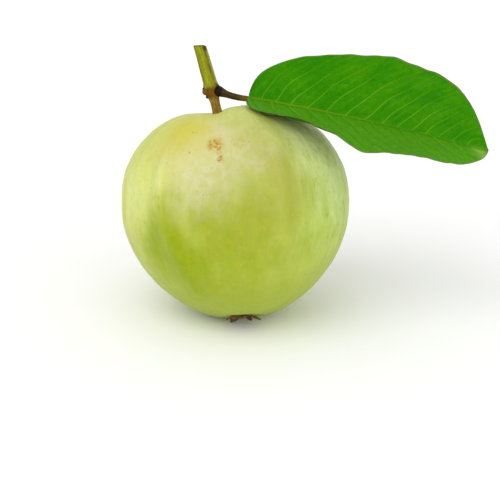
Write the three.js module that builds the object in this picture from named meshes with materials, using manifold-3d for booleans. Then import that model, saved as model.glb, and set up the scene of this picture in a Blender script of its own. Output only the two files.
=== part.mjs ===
// A guava as picked: one whole fruit with a cut length of its twig, one leaf stalk and one leaf.
//
// Millimetres, +Z up. The origin is the middle of the small flat spot that the fruit rests on.
// +X is the way the leaf grows. The calyx leans to -Y and the stalk leans back, to +Y.

import * as THREE from 'three';
import { mergeVertices } from 'three/addons/utils/BufferGeometryUtils.js';
import Module from 'manifold-3d';

const wasm = await Module();
wasm.setup();

const { abs, acos, atan2, cos, exp, max, min, PI, sin, sqrt } = Math;
const degrees = THREE.MathUtils.degToRad;

// Driving dimensions ---------------------------------------------------------------------------

const FRUIT = {
  radius: 40, // across the core
  stalkEnd: 36, // along the core, from the centre to the stalk end, before its dimple
  calyxEnd: 40.4, // along the core, from the centre to the calyx end, before its basin
  centre: new THREE.Vector3(-0.2, 1.4, 39.2), // lower than the radius, which leaves the flat spot
  leanBack: degrees(14.5),
  leanLeft: degrees(3.5),
  shoulderPower: 2.28, // 2 is an ellipsoid, more is squarer
  calyxPower: 1.86, // less than 2 narrows towards the calyx
  blendHeight: 0.35, // how far past the middle the two ends blend, as a share of the radius
  meridians: 68,
  parallels: 42,
};

const STALK_DIMPLE = {
  offCore: degrees(7.5),
  depth: 2.4,
  spread: degrees(9),
  softDepth: 1,
  softSpread: degrees(20),
};
const CALYX_BASIN = { offCore: degrees(11), depth: 2.6, spread: degrees(7.5) };
const STALK_SOCKET = { depth: 2.2, clearance: 0.4 };

// A saddle from front to back that the stalk stands in. Its place and its spreads are shares of the radius.
const SADDLE = { depth: 1.75, side: -0.14, leftSpread: 0.2, rightSpread: 0.1, backSpread: 0.62 };

// Heights of the skin's relief, with how many ribs or waves there are round the core or over the radius.
const RIBS = { height: 0.14, count: 9, fineHeight: 0.1, fineCount: 13 };
const LUMPS = { height: 0.16, waves: 8, fineHeight: 0.12, fineWaves: 11 };

const CALYX = {
  sepals: 5,
  reach: 3.7, // to the notches between the sepals
  sepalLength: 3.2, // further, to their tips
  turn: degrees(-42), // a notch faces the flat spot
  sepalSharpness: 1.3,
  thickness: 0.6,
  rimHeight: 0.6,
  rimPlace: 0.5, // as shares of the way out, like the spreads
  rimSpread: 0.16,
  styleHeight: 0.8,
  styleSpread: 0.12,
  clearance: 0.45,
  rings: 7,
  around: 40,
};

// From the stalk's foot on the fruit up to the node, and from the node up to the cut.
const STALK_RUN = new THREE.Vector3(-2.5, 4.1, 10);
const SHOOT_RUN = new THREE.Vector3(-4.3, 6, 14);
const CUT_TILT = degrees(21); // the cut leans to the back

const TWIG = {
  sides: 16,
  squareness: 0.07, // the shoot is four-angled
  bendLength: 3, // over which the stalk's way turns into the shoot's, at the node
  // [distance from the node, radius]: below the node is the fruit's stalk, above it the green shoot
  profile: [
    [-12.8, 1.8], [-10.6, 1.82], [-9, 1.76], [-7.5, 1.7], [-5.5, 1.66], [-4, 1.76], [-2.7, 2.08],
    [-1.3, 2.62], [-0.4, 2.85], [0.3, 2.85], [1, 2.68], [2, 2.5], [4, 2.42], [7, 2.36], [10, 2.3],
    [13, 2.22], [16, 2.15],
  ],
};

const LEAF_SCAR = { radius: 1.5, place: new THREE.Vector3(-2.1, 0, -1) }; // places are from the node
const BUD = {
  radius: 0.8,
  length: 1.5,
  left: new THREE.Vector3(-1.9, 0.3, 2),
  right: new THREE.Vector3(1.2, -0.5, 2),
};

const PETIOLE = {
  start: 4, // from the middle of the node
  sag: 1.2,
  sides: 10,
  steps: 14,
  footRadius: 1.6,
  radius: 1.2,
  endRadius: 0.95,
  clearance: 0.9,
};

const LEAF = {
  base: new THREE.Vector3(12.7, -8.7, -0.7), // from the node
  run: new THREE.Vector3(81.8, -16.2, -14.2), // from the base to the tip
  roll: degrees(24), // the far edge is up
  arch: 1.2, // the midrib bows up
  thickness: 0.62,
  midribDepth: 0.9,
  veinDepth: 0.4,
  veinPairs: 14,
  veinBand: 0.05, // half a vein's width, as a share of the space between veins
  rowsPerVein: 4,
  rowsNearBase: [0.0015, 0.006, 0.014, 0.026, 0.044], // closer rows, as shares of the length
  rowsNearTip: [0.955, 0.972, 0.985, 0.994, 0.9985],
  columns: 7,
  veinSlope: 0.62, // how far the veins run forward for each millimetre out
};

// The half away from the calyx's side is the far one. Each half's outline is two power curves
// that meet at the widest place, and its fold is the angle that it rises out of the blade's plane.
const WIDEST = 0.54;
const FAR_HALF = { side: 1, width: 25.5, basePower: 1.1, baseRound: 0.32, tipPower: 3.8, tipRound: 1.08 };
const NEAR_HALF = { side: -1, width: 24.5, basePower: 1.1, baseRound: 0.33, tipPower: 1.9, tipRound: 0.46 };

// Shared helpers -------------------------------------------------------------------------------

function smooth(x) {
  const t = min(max(x, 0), 1);
  return t * t * (3 - 2 * t);
}

function bell(x, middle, spread) {
  return exp(-(((x - middle) / spread) ** 2));
}

/** A geometry with shared corners only, from a list of points and a list of index triples. */
function geometryFrom(points, triangles) {
  const geometry = new THREE.BufferGeometry();
  const coordinates = points.flatMap((point) => point.toArray());
  geometry.setAttribute('position', new THREE.Float32BufferAttribute(coordinates, 3));
  geometry.setIndex(triangles.flat());
  return geometry;
}

/** Keeps only the positions and joins the corners that coincide. */
function welded(geometry) {
  const bare = geometry.clone();
  bare.deleteAttribute('normal');
  bare.deleteAttribute('uv');
  return mergeVertices(bare, 1e-4);
}

function solidFrom(geometry) {
  const closed = welded(geometry);
  const mesh = new wasm.Mesh({
    numProp: 3,
    vertProperties: Float32Array.from(closed.getAttribute('position').array),
    triVerts: Uint32Array.from(closed.getIndex().array),
  });
  return new wasm.Manifold(mesh);
}

function geometryOf(solid) {
  const mesh = solid.getMesh();
  const geometry = new THREE.BufferGeometry();
  geometry.setAttribute('position', new THREE.BufferAttribute(mesh.vertProperties, 3));
  geometry.setIndex(new THREE.BufferAttribute(mesh.triVerts, 1));
  return geometry;
}

/** Joins rings of points, listed anticlockwise seen from ahead, into a tube with flat ends. */
function tubeThrough(rings) {
  const sides = rings[0].length;
  const points = rings.flat();
  const triangles = [];
  for (let i = 0; i < rings.length - 1; i += 1) {
    for (let j = 0; j < sides; j += 1) {
      const a = i * sides + j;
      const b = i * sides + ((j + 1) % sides);
      triangles.push([a, b, b + sides], [a, b + sides, a + sides]);
    }
  }
  const last = (rings.length - 1) * sides;
  for (let j = 1; j < sides - 1; j += 1) {
    triangles.push([0, j + 1, j], [last, last + j, last + j + 1]);
  }
  return geometryFrom(points, triangles);
}

/** A ring round a middle, square to a direction, with a radius for each angle. */
function ringAt(middle, direction, sides, radiusAt) {
  const across = new THREE.Vector3(0, 1, 0).cross(direction).normalize();
  const over = new THREE.Vector3().crossVectors(direction, across);
  return Array.from({ length: sides }, (_, j) => {
    const angle = (2 * PI * j) / sides;
    const radius = radiusAt(angle);
    return middle.clone()
      .addScaledVector(across, radius * cos(angle))
      .addScaledVector(over, radius * sin(angle));
  });
}

function partMesh(name, geometry, color, roughness) {
  const mesh = new THREE.Mesh(geometry, new THREE.MeshStandardMaterial({ color, roughness, metalness: 0 }));
  mesh.name = name;
  return mesh;
}

// Fruit ----------------------------------------------------------------------------------------

// The fruit's own frame has z along its core, from the calyx to the stalk.
const core = new THREE.Vector3(
  -sin(FRUIT.leanLeft),
  sin(FRUIT.leanBack) * cos(FRUIT.leanLeft),
  cos(FRUIT.leanBack) * cos(FRUIT.leanLeft),
);
const coreX = new THREE.Vector3(0, 1, 0).cross(core).normalize();
const coreY = new THREE.Vector3().crossVectors(core, coreX);
const fruitTurn = new THREE.Matrix4().makeBasis(coreX, coreY, core);

const stalkWay = new THREE.Vector3(-sin(STALK_DIMPLE.offCore), 0, cos(STALK_DIMPLE.offCore));
const calyxWay = new THREE.Vector3(0, -sin(CALYX_BASIN.offCore), -cos(CALYX_BASIN.offCore));

/** The skin's gentle lumps and its ribs from end to end. */
function skinRelief(way, around, waist) {
  const ribs = RIBS.height * cos(RIBS.count * around + 2 * way.z + 0.8)
    + RIBS.fineHeight * cos(RIBS.fineCount * around - 1.5 * way.z + 2.6);
  const lumps = LUMPS.height * sin(LUMPS.waves * way.x + 1.1) * sin(7 * way.y + 9 * way.z)
    + LUMPS.fineHeight * sin(LUMPS.fineWaves * way.x - 6 * way.y + 0.5) * cos(10 * way.z + 3 * way.x);
  return ribs * waist ** 2 + lumps * waist;
}

/** How far the skin is lowered round the stalk, steeper on the right than on the left. */
function saddle(way) {
  const aside = way.x - SADDLE.side;
  const across = bell(aside, 0, aside < 0 ? SADDLE.leftSpread : SADDLE.rightSpread);
  return SADDLE.depth * across * bell(way.y, 0, SADDLE.backSpread) * smooth(way.z / 0.6);
}

/** From the centre to the skin, for a direction in the fruit's own frame. */
function skinRadius(way) {
  const waist = sqrt(max(0, 1 - way.z * way.z));
  const around = atan2(way.y, way.x);
  const upper = smooth((way.z + FRUIT.blendHeight) / (2 * FRUIT.blendHeight));
  const power = FRUIT.calyxPower + (FRUIT.shoulderPower - FRUIT.calyxPower) * upper;
  const end = way.z > 0 ? FRUIT.stalkEnd : FRUIT.calyxEnd;
  const round = ((waist / FRUIT.radius) ** power + (abs(way.z) / end) ** power) ** (-1 / power);
  const lobes = 1 + (0.006 * cos(5 * around + 2.45) + 0.0118 * cos(2 * around + 2.1)) * waist ** 2;
  const toStalk = acos(min(1, way.dot(stalkWay)));
  const toCalyx = acos(min(1, way.dot(calyxWay)));
  const dimple = STALK_DIMPLE.depth * bell(toStalk, 0, STALK_DIMPLE.spread)
    + STALK_DIMPLE.softDepth * bell(toStalk, 0, STALK_DIMPLE.softSpread);
  const basin = CALYX_BASIN.depth * bell(toCalyx, 0, CALYX_BASIN.spread);
  return round * lobes + skinRelief(way, around, waist) - dimple - basin - saddle(way);
}

/** The place at a distance out from the skin, for a direction in the fruit's own frame. */
function onSkin(way, outward = 0) {
  const radius = skinRadius(way) + outward;
  return way.clone().multiplyScalar(radius).applyMatrix4(fruitTurn).add(FRUIT.centre);
}

const stalkFoot = onSkin(stalkWay);
const stalkDirection = STALK_RUN.clone().normalize();
const shootDirection = SHOOT_RUN.clone().normalize();
const node = stalkFoot.clone().add(STALK_RUN);
const cutMiddle = node.clone().add(SHOOT_RUN);

function fruitGeometry() {
  const ball = welded(new THREE.SphereGeometry(1, FRUIT.meridians, FRUIT.parallels).rotateX(PI / 2));
  const corners = ball.getAttribute('position');
  for (let i = 0; i < corners.count; i += 1) {
    const place = onSkin(new THREE.Vector3().fromBufferAttribute(corners, i).normalize());
    corners.setXYZ(i, ...place.toArray());
  }

  const below = solidFrom(new THREE.BoxGeometry(60, 60, 20).translate(0, 0, -10));

  const socketRadius = TWIG.profile[0][1] + STALK_SOCKET.clearance;
  const upright = new THREE.Vector3(0, 1, 0);
  const socket = new THREE.CylinderGeometry(socketRadius, socketRadius, 20, TWIG.sides)
    .translate(0, 10 - STALK_SOCKET.depth, 0)
    .applyQuaternion(new THREE.Quaternion().setFromUnitVectors(upright, stalkDirection))
    .translate(...stalkFoot.toArray());

  return geometryOf(solidFrom(ball).subtract(below).subtract(solidFrom(socket)));
}

// Calyx: a thin five-pointed cup that follows the basin ----------------------------------------

function calyxGeometry() {
  const { rings, around } = CALYX;
  const side = new THREE.Vector3(1, 0, 0);
  const over = new THREE.Vector3().crossVectors(calyxWay, side);
  const outer = [];
  const inner = [];

  for (let i = 0; i <= rings; i += 1) {
    const share = i / rings;
    const count = i === 0 ? 1 : around;
    for (let j = 0; j < count; j += 1) {
      const angle = (2 * PI * j) / around;
      const sepal = abs(cos((CALYX.sepals * angle) / 2 + CALYX.turn)) ** CALYX.sepalSharpness;
      const out = (share * (CALYX.reach + CALYX.sepalLength * sepal)) / FRUIT.radius;
      const way = calyxWay.clone().multiplyScalar(cos(out))
        .addScaledVector(side, sin(out) * cos(angle))
        .addScaledVector(over, sin(out) * sin(angle));
      const rim = CALYX.rimHeight * bell(share, CALYX.rimPlace, CALYX.rimSpread);
      const style = CALYX.styleHeight * bell(share, 0, CALYX.styleSpread);
      inner.push(onSkin(way, CALYX.clearance));
      outer.push(onSkin(way, CALYX.clearance + CALYX.thickness + rim + style));
    }
  }

  const total = outer.length;
  const ringStart = (i) => (i === 0 ? 0 : 1 + (i - 1) * around);
  const triangles = [];
  const face = (a, b, c) => triangles.push([a, b, c], [total + a, total + c, total + b]);
  for (let j = 0; j < around; j += 1) {
    const next = (j + 1) % around;
    face(0, 1 + j, 1 + next);
    for (let i = 1; i < rings; i += 1) {
      const here = ringStart(i);
      const beyond = ringStart(i + 1);
      face(here + j, beyond + j, beyond + next);
      face(here + j, beyond + next, here + next);
    }
    const edge = ringStart(rings);
    triangles.push([edge + j, total + edge + j, total + edge + next]);
    triangles.push([edge + j, total + edge + next, edge + next]);
  }
  return geometryFrom([...outer, ...inner], triangles);
}

// Twig: the fruit's stalk, the node, and the shoot above it up to the cut ----------------------

function twigGeometry() {
  const cutFacing = new THREE.Vector3(0, sin(CUT_TILT), cos(CUT_TILT));
  const rings = TWIG.profile.map(([distance, radius]) => {
    const direction = distance < 0 ? stalkDirection : shootDirection;
    const bend = smooth(distance / TWIG.bendLength + 0.5);
    const facing = stalkDirection.clone().lerp(shootDirection, bend).normalize();
    const angled = TWIG.squareness * smooth(distance / 2);
    const middle = node.clone().addScaledVector(direction, distance);
    return ringAt(middle, facing, TWIG.sides, (angle) => radius * (1 + angled * cos(4 * angle)));
  });
  const topRing = rings[rings.length - 1];
  topRing.forEach((corner) => {
    const above = corner.clone().sub(cutMiddle).dot(cutFacing) / shootDirection.dot(cutFacing);
    corner.addScaledVector(shootDirection, -above);
  });

  const scar = new THREE.SphereGeometry(LEAF_SCAR.radius, 12, 8)
    .translate(...node.clone().add(LEAF_SCAR.place).toArray());
  const bud = new THREE.SphereGeometry(BUD.radius, 8, 8).scale(1, 1, BUD.length / BUD.radius);
  const leftBud = bud.clone().translate(...node.clone().add(BUD.left).toArray());
  const rightBud = bud.clone().translate(...node.clone().add(BUD.right).toArray());

  return geometryOf([scar, leftBud, rightBud].reduce(
    (solid, piece) => solid.add(solidFrom(piece)),
    solidFrom(tubeThrough(rings)),
  ));
}

// Leaf -----------------------------------------------------------------------------------------

const leafBase = node.clone().add(LEAF.base);
const leafLength = LEAF.run.length();
const alongLeaf = LEAF.run.clone().normalize();
const acrossLeaf = new THREE.Vector3(0, cos(LEAF.roll), sin(LEAF.roll))
  .addScaledVector(alongLeaf, -new THREE.Vector3(0, cos(LEAF.roll), sin(LEAF.roll)).dot(alongLeaf))
  .normalize();
const aboveLeaf = new THREE.Vector3().crossVectors(alongLeaf, acrossLeaf);

/** Half the blade's width at a share of its length. */
function halfWidth(half, share) {
  const s = min(max(share, 0), 1);
  const toBase = max(0, (WIDEST - s) / WIDEST);
  const toTip = max(0, (s - WIDEST) / (1 - WIDEST));
  const narrowedToBase = (1 - toBase ** half.basePower) ** half.baseRound;
  const narrowedToTip = (1 - toTip ** half.tipPower) ** half.tipRound;
  return half.width * narrowedToBase * narrowedToTip;
}

/** How far a half rises out of the blade's plane: its fold, its curls and the waves of its edge. */
function foldAngle(half, share, toEdge) {
  if (half.side > 0) {
    const wave = 1.2 * sin(2 * PI * (3.1 * share + 0.12));
    return degrees(28.7 - 10.3 * smooth((share - 0.3) / 0.6) + (1.4 - wave) * toEdge ** 2);
  }
  const curl = 14 * bell(share, 0.21, 0.2) * toEdge ** 3;
  const waves = (2.2 * bell(share, 0.72, 0.1) - 4.4 * bell(share, 0.517, 0.067)) * toEdge ** 2;
  const droop = 5.5 * smooth((share - 0.75) / 0.25) * toEdge + 0.9 * smooth((share - 0.4) / 0.4);
  return degrees(18.3 + curl + waves - droop);
}

/** How far a vein that leaves the midrib at a share of its length runs forward. */
function veinForward(start) {
  return LEAF.veinSlope * smooth(start / 0.22) * (1 - 0.25 * smooth((start - 0.7) / 0.3));
}

/** The distance out to the edge along the vein line that starts at a share of the length. */
function edgeDistance(half, start) {
  let low = 0;
  let high = 1.5 * half.width;
  for (let step = 0; step < 40; step += 1) {
    const middle = (low + high) / 2;
    const share = start + (veinForward(start) * middle) / leafLength;
    if (middle > halfWidth(half, share)) high = middle;
    else low = middle;
  }
  return low;
}

/** A place on the blade's upper face, on the vein line from start, at a share of the way to the edge. */
function onBlade(half, start, toEdge) {
  const out = edgeDistance(half, start) * toEdge;
  const along = start * leafLength + veinForward(start) * out;
  const share = along / leafLength;
  const angle = foldAngle(half, share, toEdge);
  const arch = LEAF.arch * 4 * share * (1 - share);
  return leafBase.clone()
    .addScaledVector(alongLeaf, along)
    .addScaledVector(acrossLeaf, half.side * out * cos(angle))
    .addScaledVector(aboveLeaf, out * sin(angle) + arch);
}

/** The upward normal of the blade, from its neighbouring places. */
function bladeNormal(half, start, toEdge) {
  const step = 0.01;
  const ahead = onBlade(half, min(start + step, 0.999), toEdge);
  const behind = onBlade(half, max(start - step, 0.001), toEdge);
  const outer = onBlade(half, start, min(toEdge + step, 1));
  const inner = onBlade(half, start, max(toEdge - step, 0));
  return ahead.sub(behind).cross(outer.sub(inner)).multiplyScalar(half.side).normalize();
}

/** Where the rows of the blade's mesh leave the midrib: evenly, with a vein on every fourth one. */
function rowStarts() {
  const pitch = 1 / (LEAF.veinPairs + 1);
  const between = [];
  for (let k = LEAF.rowsPerVein; k <= LEAF.veinPairs * LEAF.rowsPerVein; k += 1) {
    between.push((k / LEAF.rowsPerVein) * pitch);
  }
  return [...LEAF.rowsNearBase, ...between, ...LEAF.rowsNearTip];
}

function leafGeometry() {
  const pitch = 1 / (LEAF.veinPairs + 1);
  const upper = [];
  const lower = [];
  const place = (half, start, toEdge) => {
    const top = onBlade(half, start, toEdge);
    const normal = toEdge === 0 ? aboveLeaf : bladeNormal(half, start, toEdge);
    const fromVein = abs(start / pitch - Math.round(start / pitch));
    const vein = fromVein < LEAF.veinBand && toEdge > 0 ? LEAF.veinDepth * (1 - toEdge ** 2) : 0;
    const midrib = toEdge === 0 ? LEAF.midribDepth * (1 - 0.6 * start) : 0;
    upper.push(top);
    lower.push(top.clone().addScaledVector(normal, -(LEAF.thickness + vein + midrib)));
  };

  const starts = rowStarts();
  place(FAR_HALF, 0, 0);
  starts.forEach((start) => {
    for (let j = LEAF.columns; j > 0; j -= 1) place(NEAR_HALF, start, j / LEAF.columns);
    for (let j = 0; j <= LEAF.columns; j += 1) place(FAR_HALF, start, j / LEAF.columns);
  });
  place(FAR_HALF, 1, 0);

  const rowLength = 2 * LEAF.columns + 1;
  const total = upper.length;
  const tip = total - 1;
  const rowStart = (i) => 1 + i * rowLength;
  const triangles = [];
  const face = (a, b, c) => triangles.push([a, b, c], [total + a, total + c, total + b]);
  const edge = (a, b) => triangles.push([a, total + a, total + b], [a, total + b, b]);
  const lastRow = rowStart(starts.length - 1);

  for (let j = 0; j < rowLength - 1; j += 1) {
    face(0, 1 + j, 2 + j);
    face(tip, lastRow + j + 1, lastRow + j);
    for (let i = 0; i < starts.length - 1; i += 1) {
      const here = rowStart(i) + j;
      const beyond = rowStart(i + 1) + j;
      const nearSide = j < LEAF.columns;
      if (nearSide) {
        face(here, beyond, here + 1);
        face(here + 1, beyond, beyond + 1);
      } else {
        face(here, beyond + 1, here + 1);
        face(here, beyond, beyond + 1);
      }
    }
  }
  for (let i = 0; i < starts.length - 1; i += 1) {
    edge(rowStart(i), rowStart(i + 1));
    edge(rowStart(i + 1) + rowLength - 1, rowStart(i) + rowLength - 1);
  }
  edge(0, rowStart(0));
  edge(rowStart(0) + rowLength - 1, 0);
  edge(lastRow, tip);
  edge(tip, lastRow + rowLength - 1);
  return geometryFrom([...upper, ...lower], triangles);
}

// Petiole: from the node to the leaf's base, sagging a little ----------------------------------

function petioleGeometry() {
  const toLeaf = LEAF.base.clone().normalize();
  const start = node.clone().addScaledVector(toLeaf, PETIOLE.start);
  const end = leafBase.clone()
    .addScaledVector(aboveLeaf, -(LEAF.thickness + LEAF.midribDepth) / 2)
    .addScaledVector(alongLeaf, -PETIOLE.clearance);
  const sagPoint = start.clone().lerp(end, 0.5);
  sagPoint.z -= 2 * PETIOLE.sag;
  const path = new THREE.QuadraticBezierCurve3(start, sagPoint, end);

  const rings = Array.from({ length: PETIOLE.steps + 1 }, (_, i) => {
    const share = i / PETIOLE.steps;
    const taper = PETIOLE.radius + (PETIOLE.endRadius - PETIOLE.radius) * share;
    const radius = taper + (PETIOLE.footRadius - PETIOLE.radius) * bell(share, 0, 0.14);
    return ringAt(path.getPointAt(share), path.getTangentAt(share), PETIOLE.sides, () => radius);
  });
  return tubeThrough(rings);
}

// The whole guava ------------------------------------------------------------------------------

const guava = new THREE.Group();
guava.name = 'guava';
guava.add(
  partMesh('fruit', fruitGeometry(), 0xc3cc72, 0.45),
  partMesh('calyx', calyxGeometry(), 0x6b5233, 0.9),
  partMesh('twig', twigGeometry(), 0x837a1c, 0.6),
  partMesh('petiole', petioleGeometry(), 0x3c3014, 0.6),
  partMesh('leaf', leafGeometry(), 0x3c8c0c, 0.4),
);

export default guava;
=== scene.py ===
"""Guava: the looks of one whole guava with its cut twig, its leaf stalk and one leaf.

The file is laid out as an add-on: settings, an operator for each piece and one for the stage, and a
panel. main() runs the operators in order. Lengths are in metres. +Z is up, the fruit rests on z = 0,
and +X is the way the leaf grows.
"""

import math
from functools import partialmethod

import bmesh
import bpy
import numpy as np
from bpy.props import FloatProperty, FloatVectorProperty, IntProperty, PointerProperty
from mathutils import Matrix, Vector


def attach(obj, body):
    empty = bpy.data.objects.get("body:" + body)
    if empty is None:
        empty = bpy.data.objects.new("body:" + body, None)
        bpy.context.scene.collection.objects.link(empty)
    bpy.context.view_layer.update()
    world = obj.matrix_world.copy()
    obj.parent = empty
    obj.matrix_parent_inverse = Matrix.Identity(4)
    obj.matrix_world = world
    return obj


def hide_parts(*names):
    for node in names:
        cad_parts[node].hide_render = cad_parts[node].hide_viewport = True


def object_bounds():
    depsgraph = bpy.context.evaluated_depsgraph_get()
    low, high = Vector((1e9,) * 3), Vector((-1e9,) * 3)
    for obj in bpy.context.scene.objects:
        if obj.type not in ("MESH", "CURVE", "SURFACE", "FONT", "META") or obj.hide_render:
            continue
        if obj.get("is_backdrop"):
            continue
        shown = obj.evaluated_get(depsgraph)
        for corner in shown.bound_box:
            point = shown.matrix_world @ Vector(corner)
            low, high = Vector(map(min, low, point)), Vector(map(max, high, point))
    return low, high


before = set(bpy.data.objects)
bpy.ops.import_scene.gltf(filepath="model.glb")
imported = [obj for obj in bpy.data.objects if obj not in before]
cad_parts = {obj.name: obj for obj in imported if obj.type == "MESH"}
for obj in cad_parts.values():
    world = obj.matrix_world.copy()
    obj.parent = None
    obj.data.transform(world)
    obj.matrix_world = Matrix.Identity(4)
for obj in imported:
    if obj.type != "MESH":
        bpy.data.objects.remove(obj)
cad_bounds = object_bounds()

bl_info = {
    "name": "Guava",
    "version": (1, 0, 0),
    "blender": (4, 5, 0),
    "location": "3D View > Sidebar > Guava",
    "description": "Builds a whole guava with a cut twig, a leaf stalk and one leaf",
    "category": "Add Mesh",
}

MM = 0.001
TURN = 2 * math.pi


def srgb(*screen_values):
    """A colour from its screen values of 0 to 255, as the linear values that Blender holds."""
    shares = [value / 255 for value in screen_values]
    return tuple(s / 12.92 if s <= 0.04045 else ((s + 0.055) / 1.055) ** 2.4 for s in shares)


def length(name, description, millimetres):
    default = millimetres * MM
    return FloatProperty(name=name, description=description, default=default, unit="LENGTH", precision=5)


def angle(name, description, degrees):
    return FloatProperty(name=name, description=description, default=math.radians(degrees), subtype="ANGLE")


def share(name, description, default):
    limits = {"min": 0.0, "max": 1.0}
    return FloatProperty(name=name, description=description, default=default, subtype="FACTOR", **limits)


def colour(name, description, *screen_values):
    values = {"default": srgb(*screen_values), "min": 0.0, "max": 1.0, "size": 3}
    return FloatVectorProperty(name=name, description=description, subtype="COLOR", **values)


# Settings -------------------------------------------------------------------------------------


class GuavaFruitSettings(bpy.types.PropertyGroup):
    """The fruit's form and the colours of its skin."""

    radius: length("Radius", "Half the fruit's width across its core", 40)
    stalk_end: length("Stalk end", "From the centre to the stalk end, before its dimple", 36)
    calyx_end: length("Calyx end", "From the centre to the calyx end, before its basin", 40.4)
    centre: FloatVectorProperty(
        name="Centre",
        description="The fruit's centre, lower than its radius, which leaves the flat spot",
        default=(-0.2 * MM, 1.4 * MM, 39.2 * MM),
        size=3,
        subtype="TRANSLATION",
        unit="LENGTH",
    )
    lean_back: angle("Lean back", "How far the core leans back", 14.5)
    lean_left: angle("Lean left", "How far the core leans left", 3.5)
    lump_height: length("Lump height", "Height of the skin's fine lumps", 0.3)
    wrinkle_height: length("Wrinkle height", "Height of the wrinkles that run from end to end", 0.2)
    pale: colour("Pale skin", "The skin's main colour, pale yellow-green", 202, 208, 111)
    green: colour("Green skin", "The greener flank", 172, 198, 104)
    # Also used for painted shade: the darker green towards the foot and some patches.
    deep: colour("Deep green", "Streaks and the foot's darker green", 136, 157, 0)
    yellow: colour("Ripe patch", "The yellow patch near the shoulder", 198, 188, 52)
    # Partly painted highlight: the cheek is paler where the broad highlight falls.
    bloom_and_highlight: colour("Bloom", "The dull waxy bloom on the cheek", 204, 198, 160)
    wrinkle: colour("Wrinkle", "The pale crests of the wrinkles", 214, 228, 150)
    cork: colour("Cork", "Scars and specks", 190, 138, 48)


class GuavaTwigSettings(bpy.types.PropertyGroup):
    """The fruit's stalk, the node and the cut shoot."""

    squareness: share("Squareness", "How four-angled the shoot is", 0.07)
    grain_height: length("Grain height", "Height of the bark's lengthwise grain", 0.06)
    voxel: length("Blend size", "Size of the steps with which node, scar and buds are blended", 0.13)
    shoot: colour("Shoot", "The green shoot", 134, 140, 0)
    ridge: colour("Ridge", "The shoot's pale ridges", 168, 170, 30)
    node: colour("Node", "The brown node", 82, 46, 0)
    stalk: colour("Stalk", "The fruit's stalk", 130, 98, 8)
    pith: colour("Pith", "The middle of the cut", 186, 176, 120)


class GuavaPetioleSettings(bpy.types.PropertyGroup):
    """The leaf stalk."""

    radius: length("Radius", "Half the stalk's thickness past its foot", 1.25)
    foot_radius: length("Foot radius", "Half the thickness of its swollen foot", 1.85)
    end_radius: length("End radius", "Half the thickness at the leaf", 0.95)
    sag: length("Sag", "How far it hangs below a straight line", 0.75)
    dark: colour("Dark bark", "Most of the leaf stalk", 44, 34, 8)
    foot: colour("Foot", "The nearly black foot", 18, 11, 5)
    leafward: colour("Leaf end", "The olive end at the leaf", 104, 88, 18)


class GuavaLeafSettings(bpy.types.PropertyGroup):
    """The leaf's blade."""

    thickness: length("Thickness", "Thickness of the blade between its veins", 0.34)
    arch: length("Arch", "How far the midrib bows up", 1.2)
    fold_round: length("Fold radius", "How softly the blade folds at the midrib", 0.6)
    pucker: length("Pucker", "How far the blade swells between its veins", 0.42)
    vein_groove: length("Vein groove", "Depth of the side veins' grooves above", 0.18)
    vein_ridge: length("Vein ridge", "Height of the side veins' ridges below", 0.36)
    midrib_ridge: length("Midrib ridge", "Height of the midrib's ridge below", 0.95)
    upper: colour("Upper face", "The upper face", 34, 126, 0)
    # Also used for the painted light on the near half.
    bright: colour("Bright green", "Its lighter patches", 80, 152, 0)
    dark: colour("Dark green", "Its darker patches", 20, 104, 0)
    vein: colour("Veins", "The side veins seen from above", 116, 174, 48)
    midrib: colour("Midrib", "The midrib seen from above", 104, 138, 14)
    # A darker green than the leaf's own lower face: painted shade, for the lower face seen in the shade of
    # the curl.
    under: colour("Lower face", "The dull lower face", 50, 92, 24)
    margin: colour("Margin", "The dry brownish line along the margin", 120, 112, 62)


class GuavaCalyxSettings(bpy.types.PropertyGroup):
    """The dried calyx."""

    sepals: IntProperty(name="Sepals", description="How many sepals", default=5, min=3, max=7)
    sepal_length: length("Sepal length", "From the rim to a sepal's tip", 4.2)
    sepal_width: length("Sepal width", "Across a sepal's foot", 4.0)
    eye_radius: length("Eye radius", "Half the width of the dry eye inside the rim", 2.3)
    threads: IntProperty(name="Threads", description="How many dry stamen threads", default=46, min=0)
    seed: IntProperty(name="Seed", description="Seed of the pieces' small differences", default=11)
    dry: colour("Dry", "The dried calyx", 118, 90, 52)
    dark: colour("Dark", "Its darker folds", 62, 42, 22)


class GuavaStageSettings(bpy.types.PropertyGroup):
    """Floor, light and camera."""

    floor_width: length("Floor width", "Across the floor", 9000)
    lens: FloatProperty(name="Lens", description="Focal length in millimetres", default=110.0, unit="CAMERA")
    camera_height_angle: angle("Camera angle", "How far above level the camera is", 21)
    metres_per_pixel: length("Scale", "What a pixel spans at the fruit's centre", 0.354)
    floor: colour("Floor", "The pale floor", 250, 250, 249)


class GuavaSettings(bpy.types.PropertyGroup):
    """All of the guava's settings."""

    fruit: PointerProperty(type=GuavaFruitSettings)
    twig: PointerProperty(type=GuavaTwigSettings)
    petiole: PointerProperty(type=GuavaPetioleSettings)
    leaf: PointerProperty(type=GuavaLeafSettings)
    calyx: PointerProperty(type=GuavaCalyxSettings)
    stage: PointerProperty(type=GuavaStageSettings)


# Node helpers ---------------------------------------------------------------------------------


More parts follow.
